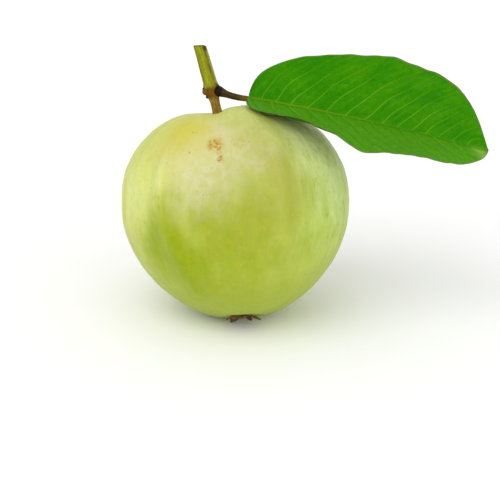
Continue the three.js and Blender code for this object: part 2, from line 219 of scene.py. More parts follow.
class Steps:
    """Adds nodes to a tree one step at a time. Numbers, colours or other nodes' outputs feed each one."""

    def __init__(self, tree):
        self.tree = tree

    def feed(self, socket, feed):
        if isinstance(feed, bpy.types.NodeSocket):
            self.tree.links.new(feed, socket)
        elif socket.type == "RGBA" and len(feed) == 3:
            socket.default_value = (*feed, 1.0)
        else:
            socket.default_value = feed

    def node(self, kind, feeds=None, **settings):
        node = self.tree.nodes.new(kind)
        for name, value in settings.items():
            setattr(node, name, value)
        for key, feed in (feeds or {}).items():
            self.feed(node.inputs[key], feed)
        return node

    def math(self, operation, first, *others):
        """One operation on a number, or on two or more from left to right."""
        for other in others or (0.0,):
            first = self.node("ShaderNodeMath", {0: first, 1: other}, operation=operation).outputs[0]
        return first

    times = partialmethod(math, "MULTIPLY")
    add = partialmethod(math, "ADD")
    minus = partialmethod(math, "SUBTRACT")
    over = partialmethod(math, "DIVIDE")
    larger = partialmethod(math, "MAXIMUM")
    magnitude = partialmethod(math, "ABSOLUTE")

    def vector(self, operation, first, second):
        node = self.node("ShaderNodeVectorMath", {0: first}, operation=operation)
        self.feed(node.inputs["Scale" if operation == "SCALE" else 1], second)
        return node.outputs["Value" if operation in {"DISTANCE", "DOT_PRODUCT"} else "Vector"]

    def split(self, vector):
        return self.node("ShaderNodeSeparateXYZ", {0: vector}).outputs

    def join(self, x, y, z):
        return self.node("ShaderNodeCombineXYZ", {0: x, 1: y, 2: z}).outputs[0]

    def ramp(self, value, low, high, start=0.0, end=1.0):
        """A smooth change from start, where the value is low, to end, where it is high."""
        feeds = {"Value": value, "From Min": low, "From Max": high, "To Min": start, "To Max": end}
        return self.node("ShaderNodeMapRange", feeds, interpolation_type="SMOOTHSTEP").outputs[0]

    def noise(self, vector, scale, detail=2.0, roughness=0.5):
        feeds = {"Vector": vector, "Scale": scale, "Detail": detail, "Roughness": roughness}
        return self.node("ShaderNodeTexNoise", feeds).outputs[0]

    def swing(self, *noise):
        """Noise that swings to both sides of nought."""
        return self.minus(self.noise(*noise), 0.5)

    def off_axis(self, x, y, least):
        """The distance from the z axis, with the least that it may be."""
        return self.larger(self.math("SQRT", self.add(self.times(x, x), self.times(y, y))), least)

    def blend(self, factor, first, second):
        return self.node("ShaderNodeMix", {0: factor, 6: first, 7: second}, data_type="RGBA").outputs[2]

    def paint(self, base, *layers):
        """Lays colours over a base. Each layer is its mask, how strong it is and its colour."""
        for mask, strength, layer_colour in layers:
            base = self.blend(mask if strength == 1 else self.times(mask, strength), base, layer_colour)
        return base

    def bumps(self, *layers):
        """Bumps on top of each other. Each layer is its height, its strength and its distance."""
        normal = None
        for height, strength, distance in layers:
            feeds = {"Height": height, "Strength": strength, "Distance": distance}
            if normal is not None:
                feeds["Normal"] = normal
            normal = self.node("ShaderNodeBump", feeds).outputs[0]
        return normal

    def attribute(self, name, output="Fac"):
        """A mesh attribute by its name, in a material."""
        return self.node("ShaderNodeAttribute", attribute_name=name).outputs[output]

    def object_place(self):
        return self.node("ShaderNodeTexCoord").outputs["Object"]

    def named(self, name, data_type="FLOAT"):
        """A mesh attribute by its name, in a Geometry Nodes tree."""
        return self.node("GeometryNodeInputNamedAttribute", {"Name": name}, data_type=data_type).outputs[0]

    def push(self, shape, way, height):
        """Moves each point of a shape along a way, in a Geometry Nodes tree."""
        feeds = {"Geometry": shape, "Offset": self.vector("SCALE", way, height)}
        return self.node("GeometryNodeSetPosition", feeds).outputs[0]

    def shade(self, **feeds):
        """Feeds a material's Principled shader. Each feed's name is its socket's, with _ for a space."""
        shader = self.tree.nodes["Principled BSDF"]
        for socket, feed in feeds.items():
            self.feed(shader.inputs[socket.replace("_", " ")], feed)


def new_material(name, **shader_values):
    material = bpy.data.materials.new(name)
    material.use_nodes = True
    steps = Steps(material.node_tree)
    steps.shade(**shader_values)
    return material, steps


def new_tree(name, kind, inputs, output):
    """An empty node tree, with its steps, its inputs and the socket of its output.

    An input is its default, whose type gives the socket's, or its socket's type where it has none.
    """
    tree = bpy.data.node_groups.new(name, kind)
    for key, default in inputs.items():
        given = {float: "Float", int: "Int", tuple: "Vector"}.get(type(default))
        shown, socket_type = key.replace("_", " "), "NodeSocket" + (given or default)
        socket = tree.interface.new_socket(shown, in_out="INPUT", socket_type=socket_type)
        if given:
            socket.default_value = default
    tree.interface.new_socket(output[0], in_out="OUTPUT", socket_type="NodeSocket" + output[1])
    source = tree.nodes.new("NodeGroupInput").outputs
    return tree, Steps(tree), source, tree.nodes.new("NodeGroupOutput").inputs[0]


def geometry_nodes(name, **inputs):
    """Makes a builder of a Geometry Nodes tree from a function that gives the tree's shape.

    The tree ends in smooth faces, plain geometry and its material.
    """

    def wrap(shape):
        def build():
            sockets = {"Geometry": "Geometry", **inputs, "Material": "Material"}
            output = ("Geometry", "Geometry")
            tree, steps, source, result = new_tree(name, "GeometryNodeTree", sockets, output)
            made = shape(steps, source)
            made = steps.node("GeometryNodeSetShadeSmooth", {"Geometry": made}).outputs[0]
            made = steps.node("GeometryNodeRealizeInstances", {"Geometry": made}).outputs[0]
            feeds = {"Geometry": made, "Material": source["Material"]}
            steps.feed(result, steps.node("GeometryNodeSetMaterial", feeds).outputs[0])
            return tree

        return build

    return wrap


def shader_mask(name, **inputs):
    """Makes a placer of a shader node group, which is built once, from a function that gives its mask.

    The placer takes the steps of a material, a vector, and a value for each input in order.
    """

    def wrap(mask):
        def place(steps, *feeds):
            sockets = {"Vector": "Vector", **inputs}
            group = bpy.data.node_groups.get(name)
            if group is None:
                group, inner, source, result = new_tree(name, "ShaderNodeTree", sockets, ("Mask", "Float"))
                inner.feed(result, mask(inner, source))
            return steps.node("ShaderNodeGroup", dict(enumerate(feeds)), node_tree=group).outputs[0]

        return place

    return wrap


def run_tree(obj, tree, **values):
    """Runs a Geometry Nodes tree on an object, and keeps what it makes as the object's plain mesh."""
    modifier = obj.modifiers.new(tree.name, "NODES")
    modifier.node_group = tree
    for item in tree.interface.items_tree:
        key = item.name.replace(" ", "_")
        if item.in_out == "INPUT" and key in values:
            modifier[item.identifier] = values[key]
    keep_as_mesh(obj)


def keep_as_mesh(obj):
    """Replaces an object's mesh with what its modifiers make of it, and removes them."""
    graph = bpy.context.evaluated_depsgraph_get()
    shape = obj.evaluated_get(graph)
    made = bpy.data.meshes.new_from_object(shape, preserve_all_data_layers=True, depsgraph=graph)
    obj.modifiers.clear()
    before = obj.data
    obj.data = made
    bpy.data.meshes.remove(before)
    made.name = obj.name


# Mesh helpers ---------------------------------------------------------------------------------


def new_object(name, points, faces, edges=()):
    mesh = bpy.data.meshes.new(name)
    mesh.from_pydata(np.asarray(points).tolist(), list(edges), [list(face) for face in faces])
    mesh.update()
    obj = bpy.data.objects.new(name, mesh)
    bpy.context.scene.collection.objects.link(obj)
    return obj


def set_attribute(obj, name, values):
    """Stores a number or a vector for each corner point of an object's mesh."""
    values = np.asarray(values, dtype=np.float32)
    kind, field = ("FLOAT_VECTOR", "vector") if values.ndim == 2 else ("FLOAT", "value")
    obj.data.attributes.new(name, kind, "POINT").data.foreach_set(field, values.ravel())


def points_of(obj):
    points = np.zeros(len(obj.data.vertices) * 3)
    obj.data.vertices.foreach_get("co", points)
    return points.reshape(-1, 3)


def grid_faces(rows, columns, closed_rows):
    """Four-sided faces between neighbouring rows of points."""
    row, column = np.mgrid[0 : rows - 1, 0 : columns if closed_rows else columns - 1]
    beside = (column + 1) % columns
    corners = (row * columns + column, (row + 1) * columns + column)
    corners += ((row + 1) * columns + beside, row * columns + beside)
    return np.stack(corners, axis=-1).reshape(-1, 4)


def new_tube(name, rings):
    """A closed tube through rings of points."""
    rows, sides = rings.shape[:2]
    faces = grid_faces(rows, sides, True).tolist()
    faces.append(list(range(sides)))
    faces.append(list(range((rows - 1) * sides, rows * sides))[::-1])
    return new_object(name, rings.reshape(-1, 3), faces)


def new_sheet(name, top, bottom):
    """A closed sheet between two grids of points."""
    rows, columns = top.shape[:2]
    faces = grid_faces(rows, columns, False)
    count = rows * columns
    rim = np.concatenate([
        np.arange(columns),
        np.arange(1, rows) * columns + columns - 1,
        (rows - 1) * columns + np.arange(columns - 1)[::-1],
        np.arange(1, rows - 1)[::-1] * columns,
    ])
    beyond = np.roll(rim, -1)
    rim_faces = np.stack([rim, rim + count, beyond + count, beyond], axis=1)
    all_faces = np.concatenate([faces[:, ::-1], faces + count, rim_faces])
    return new_object(name, np.concatenate([top.reshape(-1, 3), bottom.reshape(-1, 3)]), all_faces)


def edit_mesh(obj, edit):
    """Runs an edit on an object's mesh."""
    made = bmesh.new()
    made.from_mesh(obj.data)
    edit(made)
    made.to_mesh(obj.data)
    made.free()


def join_objects(name, objects):
    """Joins objects into the first of them, and names it."""
    kept, *others = objects

    def add_others(made):
        for obj in others:
            made.from_mesh(obj.data)

    edit_mesh(kept, add_others)
    for obj in others:
        bpy.data.objects.remove(obj)
    kept.name = name
    kept.data.name = name
    return kept


def blend_together(obj, voxel):
    """Makes one closed skin of parts that overlap. The work is done in millimetres, which voxels need."""
    obj.data.transform(Matrix.Scale(1 / MM, 4))
    blend = obj.modifiers.new("Blend", "REMESH")
    blend.mode = "VOXEL"
    blend.voxel_size = voxel / MM
    relax = obj.modifiers.new("Relax", "SMOOTH")
    relax.factor = 0.5
    relax.iterations = 2
    keep_as_mesh(obj)
    obj.data.transform(Matrix.Scale(MM, 4))


def smooth_step(values):
    t = np.clip(values, 0, 1)
    return t * t * (3 - 2 * t)


def bell(values, middle, spread):
    return np.exp(-(((values - middle) / spread) ** 2))


def unit(vectors):
    vectors = np.asarray(vectors, dtype=float)
    return vectors / np.linalg.norm(vectors, axis=-1, keepdims=True)


def set_ring_place(obj, x, y, along):
    """Stores each point's place round a stem and along it, and gives back how far out it is."""
    out = np.maximum(np.hypot(x, y), 1e-6)
    set_attribute(obj, "stem_ring", np.stack([x / out, y / out, along], axis=1))
    return out


def finish_piece(obj, node, material=None):
    """Lets a finished piece ride on the guava and stand for its CAD node."""
    if material is not None:
        obj.data.materials.clear()
        obj.data.materials.append(material)
        obj.data.shade_smooth()
    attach(obj, "root")
    if node is not None:
        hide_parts(node)


# The fruit's form -----------------------------------------------------------------------------

# In the fruit's own frame z runs along the core, from the calyx to the stalk.
SHOULDER_POWER = 2.28  # 2 is an ellipsoid, more is squarer
CALYX_POWER = 1.86  # less than 2 narrows towards the calyx
BLEND_HEIGHT = 0.35
STALK_OFF_CORE = math.radians(7.5)
STALK_DIMPLE = (2.4 * MM, math.radians(9))
STALK_SOFT_DIMPLE = (1.0 * MM, math.radians(20))
CALYX_OFF_CORE = math.radians(11)
CALYX_BASIN = (2.6 * MM, math.radians(7.5))
FLAT_EDGE = 0.25 * MM  # how softly the flat spot meets the skin
# A saddle that the stalk stands in: its depth, its middle to the side, and how far it spreads to the left,
# to the right and from front to back, as shares of the radius.
SADDLE_DEPTH = 1.75 * MM
SADDLE_SIDE = -0.14
SADDLE_SPREADS = (0.20, 0.10, 0.62)
RIDGE_HEIGHT = 0.6 * MM
# Low ridges from end to end: where each is round the core in degrees, its half width, and its share of
# the height.
RIDGES = (
    (-126, 5, 1.0), (-97, 9, 0.35), (-63, 7, 0.8), (-31, 6, 0.5), (8, 9, 0.8),
    (52, 6, 0.6), (96, 8, 0.9), (141, 6, 0.6), (-171, 9, 0.7), (-148, 5, 0.35),
)

STALK_WAY = np.array([-math.sin(STALK_OFF_CORE), 0.0, math.cos(STALK_OFF_CORE)])
CALYX_WAY = np.array([0.0, -math.sin(CALYX_OFF_CORE), -math.cos(CALYX_OFF_CORE)])


def fruit_turn(fruit):
    """The fruit's own axes, as the columns of a matrix."""
    back, left = fruit.lean_back, fruit.lean_left
    core = np.array([-math.sin(left), math.sin(back) * math.cos(left), math.cos(back) * math.cos(left)])
    core_x = unit(np.cross([0.0, 1.0, 0.0], core))
    return np.stack([core_x, np.cross(core, core_x), core], axis=1)


def skin_relief(way, around, waist):
    """The skin's gentle lumps and its ribs from end to end."""
    x, y, z = way[..., 0], way[..., 1], way[..., 2]
    ribs = 0.14 * np.cos(9 * around + 2 * z + 0.8) + 0.1 * np.cos(13 * around - 1.5 * z + 2.6)
    lumps = 0.16 * np.sin(8 * x + 1.1) * np.sin(7 * y + 9 * z)
    lumps = lumps + 0.12 * np.sin(11 * x - 6 * y + 0.5) * np.cos(10 * z + 3 * x)
    return (ribs * waist**2 + lumps * waist) * MM


def past_degrees(way, middle, waver):
    """How many degrees round the core each direction is past a middle, where the line there wavers."""
    around = np.degrees(np.arctan2(way[..., 1], way[..., 0])) + waver
    return (around - middle + 180) % 360 - 180


def ridges(way):
    """Low ridges that run from end to end, wavering a little on their way."""
    z = way[..., 2]
    height = np.zeros_like(z)
    for middle, spread, amount in RIDGES:
        height += amount * bell(past_degrees(way, middle, 4 * np.sin(3.1 * z + 0.6)), 0, spread)
    waist = np.hypot(way[..., 0], way[..., 1])
    return RIDGE_HEIGHT * height * waist**2 * smooth_step((z + 0.9) / 0.7)


def green_streaks_and_leaf_shadow(way):
    """How deep green the skin is in its broad streaks from end to end, from 0 to 1. One streak is partly
    painted shadow of the leaf.
    """
    z = way[..., 2]
    depth = np.zeros_like(z)
    for middle, spread, low, high, amount in GREEN_STREAKS_AND_LEAF_SHADOW:
        away = past_degrees(way, middle, 2.5 * np.sin(6.2 * z + 1.1))
        reach = smooth_step((z - low) / 0.16 + 0.5) * smooth_step((high - z) / 0.16 + 0.5)
        depth = np.maximum(depth, amount * bell(away, 0, spread) * reach)
    return depth


def saddle(way):
    """How far the skin is lowered round the stalk, steeper on the right than on the left."""
    left, right, deep = SADDLE_SPREADS
    aside = way[..., 0] - SADDLE_SIDE
    across = bell(aside, 0, np.where(aside < 0, left, right))
    return SADDLE_DEPTH * across * bell(way[..., 1], 0, deep) * smooth_step(way[..., 2] / 0.6)


def skin_radius(way, fruit):
    """From the centre to the skin, for directions in the fruit's own frame."""
    z = way[..., 2]
    waist = np.sqrt(np.maximum(0, 1 - z * z))
    around = np.arctan2(way[..., 1], way[..., 0])
    upper = smooth_step((z + BLEND_HEIGHT) / (2 * BLEND_HEIGHT))
    power = CALYX_POWER + (SHOULDER_POWER - CALYX_POWER) * upper
    end = np.where(z > 0, fruit.stalk_end, fruit.calyx_end)
    round_form = ((waist / fruit.radius) ** power + (np.abs(z) / end) ** power) ** (-1 / power)
    lobes = 1 + (0.006 * np.cos(5 * around + 2.45) + 0.0118 * np.cos(2 * around + 2.1)) * waist**2
    to_stalk = np.arccos(np.clip(way @ STALK_WAY, -1, 1))
    to_calyx = np.arccos(np.clip(way @ CALYX_WAY, -1, 1))
    hollows = sum(depth * bell(to_stalk, 0, spread) for depth, spread in (STALK_DIMPLE, STALK_SOFT_DIMPLE))
    hollows = hollows + CALYX_BASIN[0] * bell(to_calyx, 0, CALYX_BASIN[1])
    return round_form * lobes + skin_relief(way, around, waist) + ridges(way) - hollows - saddle(way)


def ball(rings, segments):
    """Directions all round from pole to pole, and the outward faces between them."""
    polar = np.linspace(0, np.pi, rings + 1)[1:-1, None]
    around = np.linspace(0, TURN, segments, endpoint=False)[None, :]
    band = [np.sin(polar) * np.cos(around), np.sin(polar) * np.sin(around), np.cos(polar) + 0 * around]
    ways = np.concatenate([np.stack(band, axis=-1).reshape(-1, 3), [[0, 0, 1]], [[0, 0, -1]]])
    faces = grid_faces(rings - 1, segments, True).tolist()
    top, bottom = len(ways) - 2, len(ways) - 1
    last_row = (rings - 2) * segments
    for j in range(segments):
        beside = (j + 1) % segments
        faces.append([top, j, beside])
        faces.append([bottom, last_row + beside, last_row + j])
    return ways, faces


@geometry_nodes(
    "Skin relief",
    Lump_Height=0.1 * MM,
    Lumps_per_Metre=110.0,
    Dimples_per_Metre=300.0,
    Wrinkle_Height=0.1 * MM,
    Wrinkles_Round=9.0,
    Wrinkled_Way=(1.0, 0.0, 0.0),
    Seed=0.0,
)
def skin_relief_tree(steps, source):
    """Raises the skin's fine lumps and its wrinkles from end to end."""
    place = steps.node("GeometryNodeInputPosition").outputs[0]
    normal = steps.node("GeometryNodeInputNormal").outputs[0]
    way = steps.named("core_way", "FLOAT_VECTOR")
    x, y, z = steps.split(way)

    shifted = steps.vector("ADD", place, steps.join(source["Seed"], 0.0, 0.0))
    dimples = steps.times(steps.swing(shifted, source["Dimples per Metre"], 1.0), 0.45)
    lumps = steps.add(steps.swing(shifted, source["Lumps per Metre"], 2.0), dimples)
    lumps = steps.times(lumps, source["Lump Height"])

    waist = steps.off_axis(x, y, 0.02)
    lengthwise = steps.join(steps.over(x, waist), steps.over(y, waist), steps.times(z, 0.4))
    streaks = steps.swing(lengthwise, source["Wrinkles Round"], 3.0, 0.6)
    flank = steps.ramp(steps.vector("DOT_PRODUCT", way, source["Wrinkled Way"]), 0.25, 0.75, 0.0, 1.6)
    patchy = steps.add(steps.ramp(steps.noise(way, 2.6, 1.0), 0.42, 0.6), flank)
    away_from_ends = steps.ramp(waist, 0.12, 0.6)
    streaks = steps.times(streaks, patchy, away_from_ends, source["Wrinkle Height"])

    off_floor = steps.ramp(steps.split(place)[2], 0.05 * MM, 1.5 * MM)
    height = steps.times(steps.add(lumps, streaks), steps.times(off_floor, 2.0))
    return steps.push(source["Geometry"], normal, height)


@geometry_nodes("Corky specks", Density=20000.0, Smallest=0.12 * MM, Largest=0.3 * MM, Flatness=0.3, Seed=1)
def specks_tree(steps, source):
    """Scatters low corky specks over the skin."""
    scatter = steps.node(
        "GeometryNodeDistributePointsOnFaces",
        {
            "Mesh": source["Geometry"],
            "Density": steps.times(steps.named("speck_share"), source["Density"]),
            "Seed": source["Seed"],
        },
        distribute_method="RANDOM",
    ).outputs
    sizes = {2: source["Smallest"], 3: source["Largest"], "Seed": source["Seed"]}
    size = steps.node("FunctionNodeRandomValue", sizes, data_type="FLOAT").outputs[1]
    dome = steps.node("GeometryNodeMeshUVSphere", {"Segments": 8, "Rings": 5, "Radius": 1.0}).outputs["Mesh"]
    placed = {
        "Points": scatter["Points"],
        "Instance": dome,
        "Rotation": scatter["Rotation"],
        "Scale": steps.join(size, steps.times(size, 0.8), steps.times(size, source["Flatness"])),
    }
    return steps.node("GeometryNodeInstanceOnPoints", placed).outputs[0]


# Shared shader effects ------------------------------------------------------------------------


@shader_mask("Mottle", Scale=100.0, Low=0.35, High=0.65)
def mottle(steps, source):
    """Soft uneven patches."""
    uneven = steps.noise(source["Vector"], source["Scale"], 4.0, 0.55)
    return steps.ramp(uneven, source["Low"], source["High"])


@shader_mask("Lengthwise streaks", Count=8.0, Stretch=0.2, Low=0.4, High=0.62)
def streaks(steps, source):
    """Streaks that run lengthwise, round an axis along z."""
    x, y, z = steps.split(source["Vector"])
    across = steps.off_axis(x, y, 0.001)
    place = steps.join(steps.over(x, across), steps.over(y, across), steps.times(z, source["Stretch"]))
    return steps.ramp(steps.noise(place, source["Count"], 4.0, 0.6), source["Low"], source["High"])


@shader_mask("Dots", Scale=300.0, Size=0.3, Share=0.5)
def dots(steps, source):
    """Small round dots, some of them left out."""
    cells = steps.node("ShaderNodeTexVoronoi", {"Vector": source["Vector"], "Scale": source["Scale"]}).outputs
    kept = steps.math("LESS_THAN", steps.split(cells["Color"])[0], source["Share"])
    return steps.times(steps.ramp(cells["Distance"], source["Size"], 0.0), kept)


@shader_mask("Patch", Middle="Vector", Radius=0.1, Raggedness=20.0)
def patch(steps, source):
    """One patch with an uneven edge round a middle."""
    way, radius = source["Vector"], source["Radius"]
    uneven = steps.times(steps.swing(way, source["Raggedness"], 3.0), radius)
    away = steps.add(steps.vector("DISTANCE", way, source["Middle"]), uneven)
    return steps.ramp(away, steps.times(radius, 1.15), steps.times(radius, 0.15))


# Skin -----------------------------------------------------------------------------------------

# Marks on the skin, as directions in the fruit's own frame.
SCAR = (-0.115, -0.80, 0.588)
SCAR_TAIL = (-0.075, -0.885, 0.458)
FAINT_SCAR = (0.09, -0.80, 0.592)
RIPE_PATCH = (-0.40, -0.58, 0.71)
GREEN_FLANK = (0.86, -0.42, 0.12)
PALE_CHEEK_HIGHLIGHT = (-0.20, -0.83, 0.51)
# The scabs of the crack that runs down from the scar: the middle and the radius of each.
CRACK_SCABS = (
    ((-0.092, -0.835, 0.540), 0.030),
    ((-0.082, -0.855, 0.508), 0.026),
    ((-0.076, -0.872, 0.480), 0.030),
    (SCAR_TAIL, 0.036),
)
# Deep green, pale and dull patches: the middle, the radius and how strong each is. Some of them are painted
# shade and one is painted light, as marked below.
DEEP_AND_SHADE_PATCHES = (
    ((-0.10, -0.97, -0.22), 0.76, 0.85),
    ((0.14, -0.98, 0.16), 0.50, 0.72),
    ((-0.58, -0.76, -0.28), 0.50, 1.0),
    ((0.30, -0.60, 0.74), 0.36, 0.42),
    # Painted shade: these two darken the front, right of the middle.
    ((0.48, -0.87, 0.06), 0.46, 0.75),
    ((0.36, -0.80, 0.46), 0.50, 0.34),
    ((-0.60, -0.76, -0.24), 0.30, 1.0),
    ((0.30, 0.90, -0.20), 0.60, 0.45),
    ((-0.90, 0.35, -0.10), 0.45, 0.40),
)
PALE_AND_LIT_PATCHES = (
    # Painted light: brightens the right shoulder where the leaf's shadow falls.
    ((0.58, -0.58, 0.56), 0.36, 0.7),
    ((-0.82, -0.54, 0.18), 0.36, 0.3),
    ((0.72, -0.66, 0.22), 0.42, 0.34),
)
DULL_AND_SHADE_PATCHES = (
    ((0.12, -0.97, 0.18), 0.70, 0.42),
    ((0.34, -0.78, 0.52), 0.42, 0.42),
    ((0.20, -0.84, 0.50), 0.36, 0.36),
    # Partly painted shade: darkens the front low on the right.
    ((0.40, -0.90, 0.12), 0.34, 0.46),
)
# Deep green streaks: where each is round the core in degrees, its half width, its lowest and highest place
# along the core, and how strong it is.
GREEN_STREAKS_AND_LEAF_SHADOW = (
    # The first streak, on the right shoulder under the leaf, is partly painted shadow of the leaf.
    (-29, 4.0, 0.34, 0.84, 1.0), (-57, 5.0, 0.45, 0.74, 0.35), (-60, 3.5, -0.25, 0.42, 0.6),
    (-46, 2.2, 0.0, 0.28, 0.5), (-51, 1.8, 0.08, 0.34, 0.4), (-38, 2.0, -0.1, 0.2, 0.4),
    (-127, 4.5, -0.75, 0.22, 0.9), (-120, 6.0, -0.75, -0.08, 0.9), (-86, 12.0, -0.35, 0.04, 0.5),
    (-8, 2.5, -0.4, 0.4, 0.3), (19, 2.0, -0.1, 0.6, 0.35), (26, 3.0, -0.4, 0.3, 0.3),
    (63, 2.5, -0.5, 0.3, 0.3), (88, 3.0, -0.2, 0.65, 0.25), (124, 2.5, -0.6, 0.2, 0.3),
    (-165, 2.5, -0.6, 0.1, 0.3),
)
# Where corky specks crowd: the middle, how far they spread and how many more there are.
SPECK_CROWDS = ((SCAR, 0.08, 5.0), (SCAR_TAIL, 0.07, 6.0), (FAINT_SCAR, 0.08, 8.0))
SPECKS_EVERYWHERE = 0.18
PALE_GREEN = srgb(214, 228, 162)
CREAM = srgb(228, 230, 150)
DULL_OLIVE = srgb(156, 156, 70)
SKIN_SHEEN = srgb(255, 255, 130)
CRUST = srgb(140, 84, 24)
CORK_OLIVE = srgb(128, 104, 44)


def patches(steps, way, places, raggedness, patch_colour, within=1):
    """Layers of one colour, with a patch at each place."""
    for middle, radius, strength in places:
        mask = patch(steps, way, middle, radius, raggedness)
        yield (mask if within == 1 else steps.times(mask, within)), strength, patch_colour


def skin_material(fruit):
    """Waxy pale green skin, greener at the flank and, partly as painted shade, at the foot, with a ripe
    patch, streaks and cork; the cheek, the ridge crests and some patches are partly painted light and shade.
    """
    material, steps = new_material(
        "guava_skin",
        Subsurface_Weight=0.12,
        Subsurface_Radius=(1.0, 0.8, 0.3),
        Subsurface_Scale=2.5 * MM,
        Specular_IOR_Level=0.3,
        Specular_Tint=SKIN_SHEEN,
        Coat_Roughness=0.3,
    )
    way = steps.attribute("core_way", "Vector")
    place = steps.object_place()
    height = steps.split(way)[2]

    broad = mottle(steps, way, 3.2, 0.32, 0.68)
    fine = mottle(steps, way, 16.0, 0.35, 0.7)
    flank = patch(steps, way, GREEN_FLANK, 1.0, 3.0)
    greener = steps.add(steps.times(flank, 0.85), steps.times(broad, 0.15))
    fine_streaks = streaks(steps, way, 16.0, 0.12, 0.5, 0.68)
    streaked = steps.add(
        steps.times(streaks(steps, way, 5.0, 0.22, 0.47, 0.66), 0.34), steps.times(fine_streaks, 0.28)
    )
    streaked = steps.times(streaked, steps.ramp(greener, 0.1, 0.7, 0.45, 1.0))
    crests = streaks(steps, way, 26.0, 0.22, 0.5, 0.7)
    # Deeper green towards the bottom: partly the skin's own colour, partly painted shade.
    greener_and_shaded_below = steps.ramp(steps.add(height, steps.times(broad, 0.2)), 0.1, -0.6)
    broken = steps.add(streaks(steps, way, 7.0, 0.3, 0.34, 0.62), steps.times(fine, 0.4))
    broken = steps.ramp(broken, 0.0, 1.2, 0.72, 1.0)
    lines = streaks(steps, way, 21.0, 0.5, 0.56, 0.7)
    base = steps.paint(
        steps.blend(greener, fruit.pale, fruit.green),
        (streaked, 1, fruit.deep),
        (crests, steps.times(flank, 0.6), fruit.wrinkle),
        (greener_and_shaded_below, 0.7, fruit.deep),
        *patches(steps, way, DEEP_AND_SHADE_PATCHES, 3.0, fruit.deep, broken),
        *patches(steps, way, PALE_AND_LIT_PATCHES, 4.0, PALE_GREEN),
        (lines, steps.times(flank, 0.55), fruit.deep),
    )

    # Paler ridge crests, more so towards the top: partly painted highlight.
    ridge_crest_highlight = steps.ramp(steps.attribute("ridge_share"), 0.35, 1.0)
    ridge_crest_highlight = steps.times(ridge_crest_highlight, steps.ramp(height, -0.05, 0.3, 0.25, 1.0))
    torn_streaks = steps.add(steps.ramp(broken, 0.7, 1.0, 0.35, 0.75), steps.times(fine_streaks, 0.4))
    blotches = mottle(steps, way, 13.0, 0.38, 0.58)
    # Paler waxy bloom on the cheek, partly painted highlight where the broad highlight falls.
    cheek = steps.times(patch(steps, way, PALE_CHEEK_HIGHLIGHT, 0.60, 4.0), steps.ramp(blotches, 0.0, 1.0, 0.58, 0.80))
    pores = dots(steps, place, 520.0, 0.32, 0.5)
    scar = patch(steps, way, SCAR, 0.09, 14.0)
    base = steps.paint(
        base,
        (ridge_crest_highlight, 0.4, CREAM),
        # Deep green streaks, one of them partly painted shadow of the leaf.
        (steps.attribute("streak_share"), torn_streaks, fruit.deep),
        *patches(steps, way, DULL_AND_SHADE_PATCHES, 3.0, DULL_OLIVE),
        (cheek, 1, fruit.bloom_and_highlight),
        (patch(steps, way, RIPE_PATCH, 0.42, 5.0), 0.75, fruit.yellow),
        (fine, 0.16, fruit.yellow),
        (pores, 0.3, fruit.deep),
        (dots(steps, place, 760.0, 0.3, 0.35), 0.16, fruit.wrinkle),
        (scar, 0.35, fruit.yellow),
    )

    crack = steps.larger(0.0, *(patch(steps, way, middle, radius, 40.0) for middle, radius in CRACK_SCABS))
    faint = patch(steps, way, FAINT_SCAR, 0.09, 34.0)
    corky = steps.larger(steps.times(scar, 0.95), steps.times(crack, 0.85), steps.times(faint, 0.28))
    corky = steps.times(corky, steps.ramp(mottle(steps, way, 34.0, 0.44, 0.54), 0.0, 1.0, 0.25, 1.0))
    crusty = steps.blend(mottle(steps, way, 60.0, 0.45, 0.6), fruit.cork, CRUST)
    steps.shade(
        Base_Color=steps.paint(base, (corky, 1, crusty)),
        Roughness=steps.add(steps.ramp(fine, 0.0, 1.0, 0.40, 0.52), steps.times(corky, 0.3)),
        Coat_Weight=steps.ramp(broad, 0.0, 1.0, 0.02, 0.08),
        Normal=steps.bumps(
            (steps.noise(place, 1100.0, 3.0, 0.6), 0.22, 0.25 * MM),
            (steps.noise(place, 420.0, 2.0, 0.5), 0.25, 0.4 * MM),
            (pores, 0.2, -0.2 * MM),
            (fine_streaks, 0.15, -0.4 * MM),
            (steps.times(crests, flank), 0.3, 0.3 * MM),
            (corky, 0.5, 0.2 * MM),
        ),
    )
    return material


def cork_material(fruit):
    """Dry brown cork, for the specks on the skin."""
    material, steps = new_material("guava_cork", Roughness=0.8)
    uneven = mottle(steps, steps.object_place(), 700.0, 0.3, 0.7)
    steps.shade(
        Base_Color=steps.blend(uneven, fruit.cork, CORK_OLIVE),
        Normal=steps.bumps((uneven, 0.3, 0.1 * MM)),
    )
    return material


